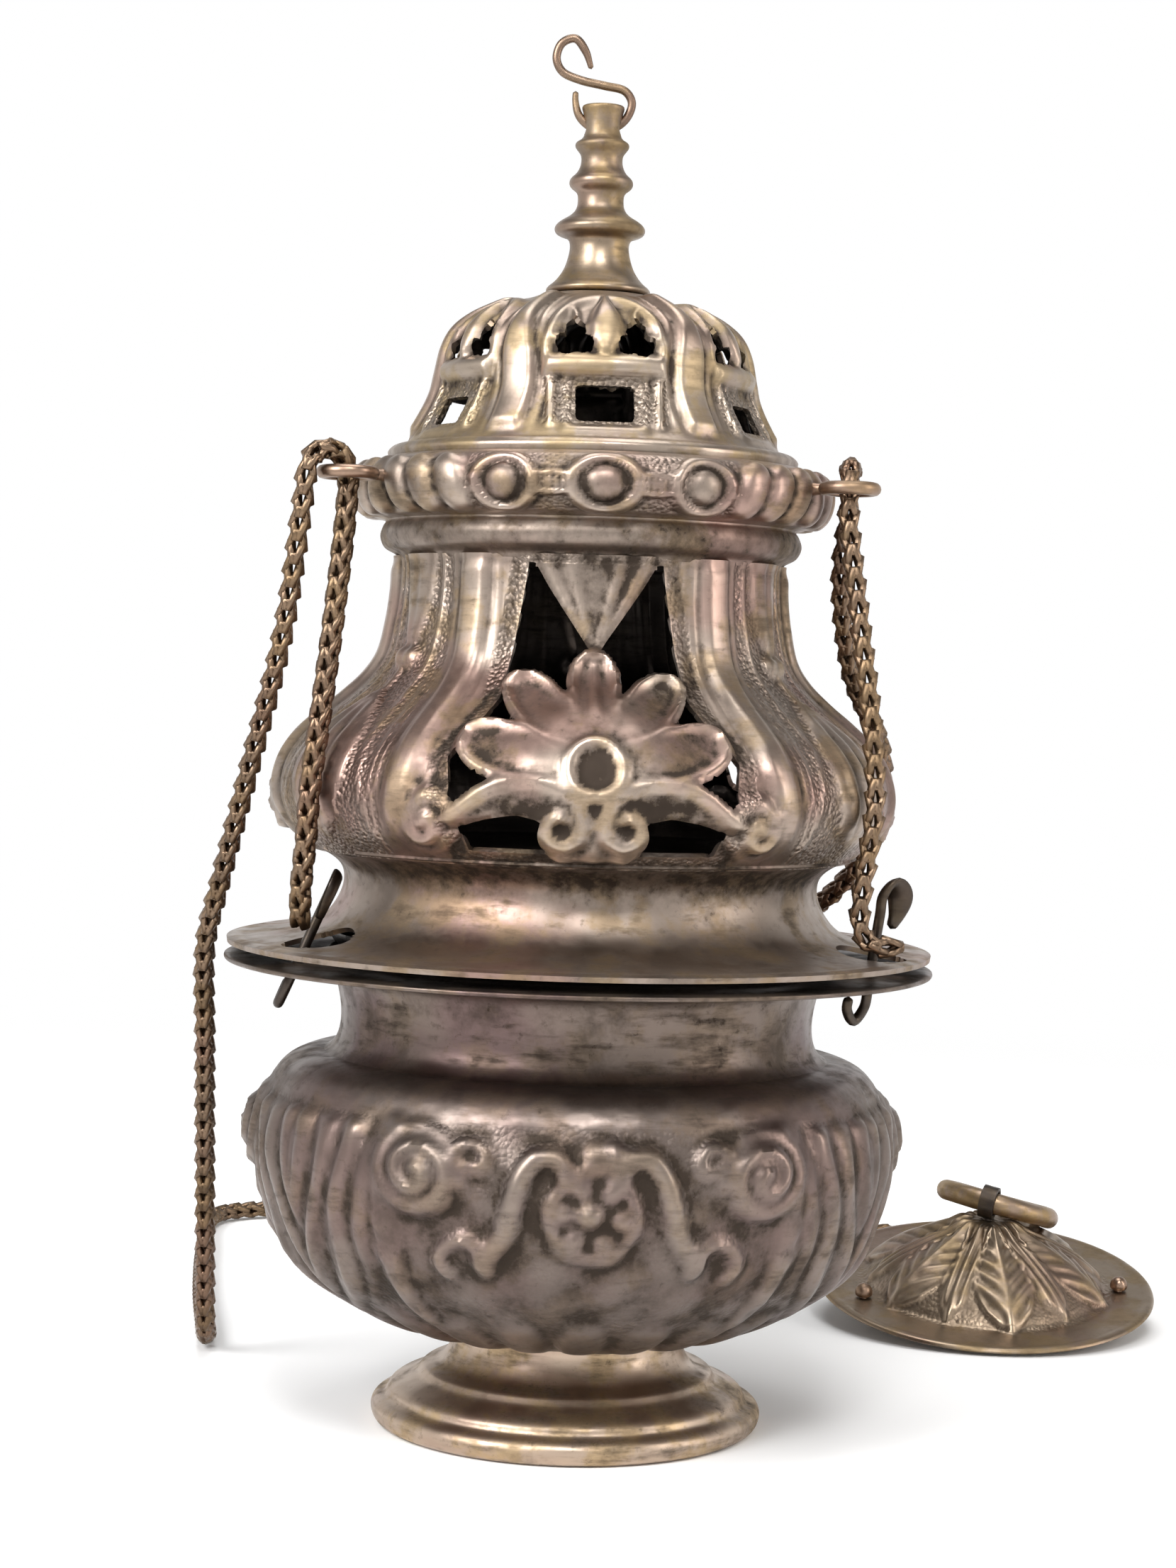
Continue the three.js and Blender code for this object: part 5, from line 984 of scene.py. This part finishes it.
eye_brass = metal("eye_brass", (0.29, 0.20, 0.145), (0.26, 0.165, 0.12), (0.31, 0.21, 0.11),
                  wobble=0.15)
ring_points, ring_quads = hoop(EYE_RING_R, EYE_WIRE_R, 48, 12, first=math.pi / 2)
share = np.linspace(0, 1, 40)
arm_widths = np.column_stack([1.1 + 1.3 * fade(share, 0.1, 0.75), 1.2 + 0.7 * fade(share, 0, 0.6)])
arm_points, arm_quads = wire(upright(EYE_RING_R, ARM_END_R, 40)[:, [0, 2, 1]], ARM_WIRE_R, 16,
                             arm_widths)
for side, angle in EYE_ANGLES.items():
    spin, place = turning(2, angle), around(EYE_R, angle, EYE_HEIGHT) + AXIS
    eye = made(f"eye_{side}", [eye_brass], (ring_points @ spin.T + place, ring_quads),
               (arm_points @ spin.T + place, arm_quads), weld=True, sharp=60)
    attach(eye, "cover")
    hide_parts(f"chain_eye_{side}")


# Dome
# The cover's top, raised and chased from one sheet. Three broad fronts and three narrower ones each
# have a small window under a lintel, with two sawn hearts and a leaf in the arch above it, and
# S-shaped flutes run between them.
DOME_OUTLINE = [(40.4, 188.6), (40.6, 189.8), (40.7, 190.6), (39.6, 191.7), (38, 192.1),
                (35.4, 194), (33.5, 197), (31.2, 202), (30.3, 206), (29.2, 211), (27.6, 214.2),
                (24.6, 216.8), (20, 219.2), (15.2, 221.2), (11.4, 222.6), (9.5, 222.9)]
DOME_TURN = 3.5
SIDE_FRONTS_FROM, SIDE_STRETCH = 32.5, 1.36
WINDOW_LOW, WINDOW_TOP, SIDE_WINDOW_TOP = 195.2, 202.2, 200.4
HEART_MIDDLE = (5.6, 210.2)
LINTEL_HEIGHT = 206.1
SEAM_HEIGHT = 192.3
FLUTES_AT, DOME_FLUTE_HALF = 32.2, 3.9


def dome_work(a, r, z):
    """One third of the dome: x is measured along the sheet from the middle of the nearer front,
    and stretched on the side fronts, which are narrower than the main one."""
    z, away = z + 0 * a, np.abs(a)
    on_side = away > SIDE_FRONTS_FROM
    x = np.radians(np.where(on_side, away - 60, a)) * r * np.where(on_side, SIDE_STRETCH, 1.0)
    m = np.abs(x)
    # the window and the three round parts of a heart, with ragged edges
    ragged = 0.25 * np.sin(z * 5) + 0.2 * np.sin(x * 4.3)
    window_top = np.where(on_side, SIDE_WINDOW_TOP, WINDOW_TOP)
    window_off = np.abs(z - (WINDOW_LOW + window_top) / 2) - (window_top - WINDOW_LOW) / 2
    window = 0.9 - np.hypot(np.clip(m - 4.7, 0, 9), np.clip(window_off + 0.9, 0, 9))
    heart_x, heart_z = m - HEART_MIDDLE[0], z - HEART_MIDDLE[1]
    heart = highest(2.2 - np.hypot(heart_x - 1.6, heart_z) * 0.95,
                    2.0 - np.hypot(heart_x + 1.3, heart_z),
                    2.0 - np.hypot(heart_x - 0.2, heart_z - 2.8))
    opening = np.maximum(window + 0.3 * ragged, heart + 0.4 * ragged)
    # the window's frame, the lintel and the jambs, the arch with its leaf and shoulders
    frame_band = bump(np.maximum(m - 7.6, np.abs(z - 198.7) - 5.5), 1.5) * (z < 204)
    lintel = 2.0 * cushion(z - LINTEL_HEIGHT, 2.1) * fade(11.5 - m, 0, 0.5)
    jamb = 1.4 * bump(m - 10.3, 1.7) * within(z, 193, 195, 203, 204.4)
    arch = np.hypot(x / 11.2, np.clip(z - 209, 0, 40) / 10.4)
    arch_band = 1.4 * bump((arch - 1) * 10, 1.4) * (z > 204)
    leaf_half = np.interp(z, [208.6, 211, 214, 217, 219.4], [1.6, 3.1, 3.3, 2.2, 0.2])
    leaf = 1.8 * cushion(x, leaf_half) * (z > 208.4) * (z < 219.4)
    shoulder = 1.2 * bump(np.hypot(m - 8.4, (z - 214.6) * 0.8) - 3.0, 1.1) * (arch < 0.98)
    # the flute between two fronts, narrowing upwards
    off = np.radians(away - FLUTES_AT) * r + 0.7 * np.sin((z - 193) / 4.6)
    half = DOME_FLUTE_HALF * (1 - 0.55 * fade(z, 207, 221))
    edge = half - np.abs(off)
    flute = 1.3 * fade(edge, 0, 1.2) + 0.6 * cushion(off, half) + 0.9 * bump(edge + 1.0, 0.9)
    relief = highest(0 * x, 0.7 * frame_band, lintel, jamb, arch_band, leaf, shoulder,
                     flute * within(z, 192.6, 194.6, 220, 222))
    relief = relief * fade(z, SEAM_HEIGHT, 193.6) - 0.3 * bump(z - SEAM_HEIGHT, 0.5)
    front = 1 - fade(m, 11.4, 12.4)
    grain = front * within(z, 194, 195, 203, 204) * (relief < 0.8)
    return relief, -opening, grain, 0.25 * front * within(z, 194, 196, 203, 204)


dome_metal = metal("dome_metal", (0.361, 0.297, 0.241), (0.318, 0.232, 0.189),
                   (0.344, 0.254, 0.133), tarnish=0.55, wear=0.75, marked=True)
dome = chased_sheet("cover_dome_sheet", DOME_OUTLINE, 104, 130, dome_work, 1.1,
                    (dome_metal, soot), turn=DOME_TURN)
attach(dome, "cover")
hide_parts("cover_dome")


# Finial
# A cast and turned finial pegged through the dome, with a nut inside and a cross hole under its
# cup for the hook.
FINIAL_OUTSIDE = [(0.01, 222.9), (9.6, 222.9), (10.4, 223.5), (10.3, 224.3), (8.6, 225.6),
                  (6.9, 228), (6.0, 231), (5.8, 233), (6.3, 234.3), (8.4, 234.9), (9, 235.6),
                  (9, 236.5), (8.1, 237.5), (5.8, 238.8), (4.7, 240.2), (4.5, 242), (4.7, 243.4),
                  (6, 244.3), (6.4, 245.1), (6.2, 246.1), (4.8, 247.3), (4.1, 249), (4.1, 250.8),
                  (4.9, 251.8), (5.4, 252.5), (5.3, 253.3), (4.2, 253.9), (3.6, 254.8),
                  (3.6, 257), (3.9, 259), (4.3, 260.2), (4.0, 260.8), (3.2, 260.4), (2.6, 259.4),
                  (0.01, 259.2)]
CROSS_HOLE_HEIGHT, CROSS_HOLE_R = 256.4, 1.5

finial_metal = metal("finial_metal", (0.303, 0.234, 0.168), (0.279, 0.197, 0.152),
                     (0.312, 0.221, 0.115), tarnish=0.55, wear=0.9, wobble=0.1)
finial = made("finial_turned", [finial_metal], turned(rounded(FINIAL_OUTSIDE), 72), weld=True)
bore_line = upright(-9, 9, 12)[:, [2, 0, 1]] + (0, 0, CROSS_HOLE_HEIGHT) + AXIS
bore = made("bore", [], wire(bore_line, CROSS_HOLE_R, 20), weld=True)
cut = finial.modifiers.new("bore", "BOOLEAN")
cut.operation, cut.object, cut.solver = "DIFFERENCE", bore, "EXACT"
kept_result(finial, 50)
bpy.data.objects.remove(bore)
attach(finial, "cover")
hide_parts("finial")

iron = metal("iron", (0.20, 0.17, 0.15), (0.22, 0.14, 0.10), (0.25, 0.17, 0.10), tarnish=0.9,
             wear=0.3, wobble=0.2)
nut_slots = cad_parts["finial_nut"].data.materials
nut_slots.clear()
nut_slots.append(iron)


# Hook in the finial
# A loose S-hook bent from brass wire through the finial's cross hole, open at its upper curl and
# drawn thin at both ends.
TOP_HOOK_WIRE_R = 0.85
TOP_HOOK_BEND = 5.6
TOP_HOOK_LOW = 256.0
bend = [(TOP_HOOK_BEND * math.cos(t), TOP_HOOK_LOW + TOP_HOOK_BEND * (1 + math.sin(t)))
        for t in np.radians(np.arange(180, 361, 30))]
S_LINE = [(-5.6, 263.6), *bend, (4.2, 263.8), (0, 264.8), (-4.8, 265.8), (-8.4, 267.4),
          (-9.6, 270), (-8.6, 273), (-6, 274), (-3.9, 271.6), (-2.6, 268)]

hook_brass = metal("hook_brass", (0.24, 0.17, 0.12), (0.21, 0.135, 0.1), (0.26, 0.18, 0.1),
                   wear=0.6, wobble=0.08)
across, up = smooth_line(S_LINE, 150).T
share = np.linspace(0, 1, 150)
s_radius = TOP_HOOK_WIRE_R * (1 - 0.35 * fade(share, 0.9, 1) - 0.3 * (1 - fade(share, 0, 0.12)))
top_hook = made("finial_s_hook", [hook_brass],
                wire(np.column_stack([across, 0 * across, up]) + AXIS, s_radius, 14), weld=True)
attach(top_hook, "finial_hook")
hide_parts("finial_hook")


# Hand plate
# The plate that is held in the hand, from which the chains hang: a round sheet with a broad plain
# rim and a dome chased with folded leaves. It lies on its studs and the chains' ends, its back
# lifted. A stud over the sheet and an eye under it share a riveted shank, one for each chain.
PLATE_MIDDLE = np.array([97, 104, 8.1416])
PLATE_TILT = 11
PLATE_OUTLINE = [(38.4, -0.3), (39, 0.1), (38.7, 0.7), (37.4, 0.8), (33, 0.7), (29.6, 0.7),
                 (27.6, 1.0), (26, 2.6), (21.4, 6.4), (14.3, 10.4), (9.4, 12.8), (6.4, 14.8),
                 (4.4, 15.9), (1.6, 16.5), (0.12, 16.55)]
PLATE_TURN = 5
NARROW_LEAF_END_R = 27.8
STUD_ANGLES = {"left": -70, "right": 86, "back": 188}
STUD_CIRCLE_R = 31
STUD_EYE_R, STUD_EYE_WIRE_R, STUD_EYE_DROP = 1.7, 0.55, 2.95
STUD_SECTION = [(0.01, 0.95), (1.1, 0.95), (1.9, 1.1), (2.05, 1.9), (1.8, 2.9), (1.1, 3.7),
                (0.01, 4.0)]
tipped = turning(0, PLATE_TILT)


def on_plate(points):
    """A place given about the plate's own middle, tipped and set down in the frame."""
    return points @ tipped.T + PLATE_MIDDLE + AXIS


def plate_work(a, r, z):
    """One sixth of the plate: a broad folded leaf in its middle, m measured round from its rib,
    and half a narrow fluted one on each side, other measured from the nearer one's middle."""
    m, other = np.abs(np.radians(a) * r), np.radians(30 - np.abs(a)) * r
    wide = np.interp(r, [4, 8, 14, 20, 25, 29.6], [0.6, 2.6, 5.4, 7.6, 5.6, 0.1])
    narrow = np.interp(r, [4, 10, 18, 23, NARROW_LEAF_END_R], [0.6, 2.0, 4.4, 3.6, 0.1])
    fold = 1.8 - 1.5 * np.clip(m / wide, 0, 1) + 0.5 * bump(wide - m - 0.5, 0.6)
    veins = 0.25 * np.cos((r + m * 0.9) * 1.5) * fade(m, 0.6, 1.6)
    leaf = (fold + veins) * fade(wide - m, -0.1, 0.5)
    second = (0.9 * cushion(other, narrow) + 0.3 * np.cos(other * 3.2)
              ) * fade(narrow - other, -0.1, 0.4) * (r < NARROW_LEAF_END_R)
    relief = np.maximum(leaf, second) * within(r, 3, 6, 28.6, 29.8)
    grain = 0.25 * (1 - fade(r, 29, 30)) * (1 - fade(relief, 0.1, 0.3))
    return relief + 0.22 * bump(r - 37.6, 0.8), 5, grain, 0.22 * (1 - fade(r, 27, 29.5))


plate_metal = metal("plate_metal", (0.304, 0.233, 0.166), (0.285, 0.195, 0.147),
                    (0.294, 0.209, 0.109), tarnish=0.4, wear=0.7, wobble=0.35, marked=True)
plate = chased_sheet("hand_plate_sheet", PLATE_OUTLINE, 110, 60, plate_work, 1.2,
                     (plate_metal, plate_metal), parts=6, turn=PLATE_TURN, place=on_plate)
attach(plate, "hand_plate")
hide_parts("hand_plate")

eye_points, eye_quads = hoop(STUD_EYE_R, STUD_EYE_WIRE_R, 24, 10)
for side, angle in STUD_ANGLES.items():
    centre = around(STUD_CIRCLE_R, angle, 0)
    shells = (turned(rounded(STUD_SECTION), 28, centre),
              wire(upright(1.6, -1.9, 14) + centre, 1.1, 14),
              (eye_points[:, [0, 2, 1]] + centre - (0, 0, STUD_EYE_DROP), eye_quads[:, ::-1]))
    stud = made(f"stud_{side}", [eye_brass], *((on_plate(points), quads)
                                               for points, quads in shells), weld=True, sharp=60)
    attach(stud, "hand_plate")
    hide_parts(f"plate_stud_{side}")


# Finger ring and its lug
# A stout bronze ring that turns in a short sleeve, and the sleeve's peg, which goes through the top
# of the plate's dome.
RING_R = 12.2
RING_WIRE_R = 2.4
LUG_RISE = 20.5
PEG_LOW, PEG_R = 13.2, 1.55
LUG_SECTION = [(3.8, -1.7), (3.8, -1.2), (3.75, 0), (3.8, 1.2), (3.8, 1.7), (3.3, 1.85),
               (2.85, 1.7), (2.8, 0), (2.85, -1.7), (3.3, -1.85)]
ring_turn = turning(1, 14) @ turning(0, -7) @ turning(2, -19)
ring_place = on_plate(np.array([0, 0, LUG_RISE]))

ring_bronze = metal("ring_bronze", (0.33, 0.245, 0.18), (0.38, 0.27, 0.235), (0.36, 0.245, 0.11),
                    wear=0.8, wobble=0.25)
ring_points, ring_quads = hoop(RING_R, RING_WIRE_R, 96, 24, uneven=0.03)
ring = made("finger_ring", [ring_bronze],
            ((ring_points + (0, RING_R, 0)) @ ring_turn.T + ring_place, ring_quads))
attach(ring, "plate_ring")
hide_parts("plate_ring")

sleeve_points, sleeve_quads = turned(LUG_SECTION, 48, np.zeros(3))
peg_points, peg_quads = wire(upright(LUG_RISE - 2.9, PEG_LOW, 12), PEG_R, 16)
lug = made("ring_lug", [dark_wire],
           (sleeve_points[:, [2, 0, 1]] @ ring_turn.T + ring_place, sleeve_quads),
           (on_plate(peg_points), peg_quads), weld=True, sharp=60)
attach(lug, "hand_plate")
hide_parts("plate_lug")


# Floor, backdrop and lamps
# A pale studio floor that turns into the pale surroundings, and soft lamps: a broad one over the
# left, one in front above, a tall narrow one at the right and a broad weak one above.
FLOOR_R = 2600
FLOOR_LEVEL = -0.05
FLOOR_GLOW_FROM, FLOOR_GLOW_TO = 0.28, 0.7

floor_paint = bpy.data.materials.new("floor_paint")
floor_paint.use_nodes = True
n = Nodes(floor_paint.node_tree)
paint = n.tree.nodes["Principled BSDF"]
n.give(paint.inputs, {"Base Color": (0.9, 0.9, 0.9, 1), "Roughness": 0.9,
                      "Specular IOR Level": 0.0})
away = n.add("VectorMath", {0: n.add("TexCoord")["Object"]}, operation="LENGTH")["Value"]
glow = n.add("Emission", {"Color": (1, 1, 1, 1), "Strength": 1.0})[0]
painted = n.add("MixShader", {0: n.between(away, FLOOR_GLOW_FROM, FLOOR_GLOW_TO),
                              1: paint.outputs[0], 2: glow})[0]
n.give(n.tree.nodes["Material Output"].inputs, {"Surface": painted})
floor_radii = np.linspace(FLOOR_R, 0.01, 40)
floor = made("floor", [floor_paint],
             turned(np.column_stack([floor_radii, np.full(40, FLOOR_LEVEL)]), 64, np.zeros(3),
                    closed=False), weld=True)

world = bpy.data.worlds.new("studio")
world.use_nodes = True
bpy.context.scene.world = world
n = Nodes(world.node_tree)
rise = n.math("ABSOLUTE", n.add("SeparateXYZ", {0: n.add("TexCoord")["Generated"]})["Z"])
n.give(n.tree.nodes["Background"].inputs,
       {"Color": (1, 1, 1, 1), "Strength": n.between(rise, 0.28, 0.75, 1.0, 0.25)})


def lamp(name, place, target_height, wide, tall, power, colour=(1, 1, 1)):
    """A rectangular lamp at a place in metres, aimed at a height of the body."""
    data = bpy.data.lights.new(name, "AREA")
    data.shape, data.size, data.size_y = "RECTANGLE", wide, tall
    data.energy, data.color = power, colour
    shone = bpy.data.objects.new(name, data)
    shone.location = place
    way = np.array([-0.03, -0.03, target_height]) - np.array(place)
    shone.rotation_euler = (math.acos(-way[2] / np.linalg.norm(way)), 0,
                            math.atan2(way[1], way[0]) - math.pi / 2)
    bpy.context.scene.collection.objects.link(shone)


lamp("left_lamp", (-0.75, -0.75, 0.75), 0.12, 0.5, 0.7, 15)
lamp("front_lamp", (0.05, -0.85, 0.95), 0.1, 0.4, 0.25, 7)
lamp("right_strip", (0.85, -0.35, 0.45), 0.14, 0.18, 0.8, 3, (1, 0.95, 0.9))
lamp("top_lamp", (0.0, 0.1, 1.1), 0.1, 0.6, 0.6, 5)
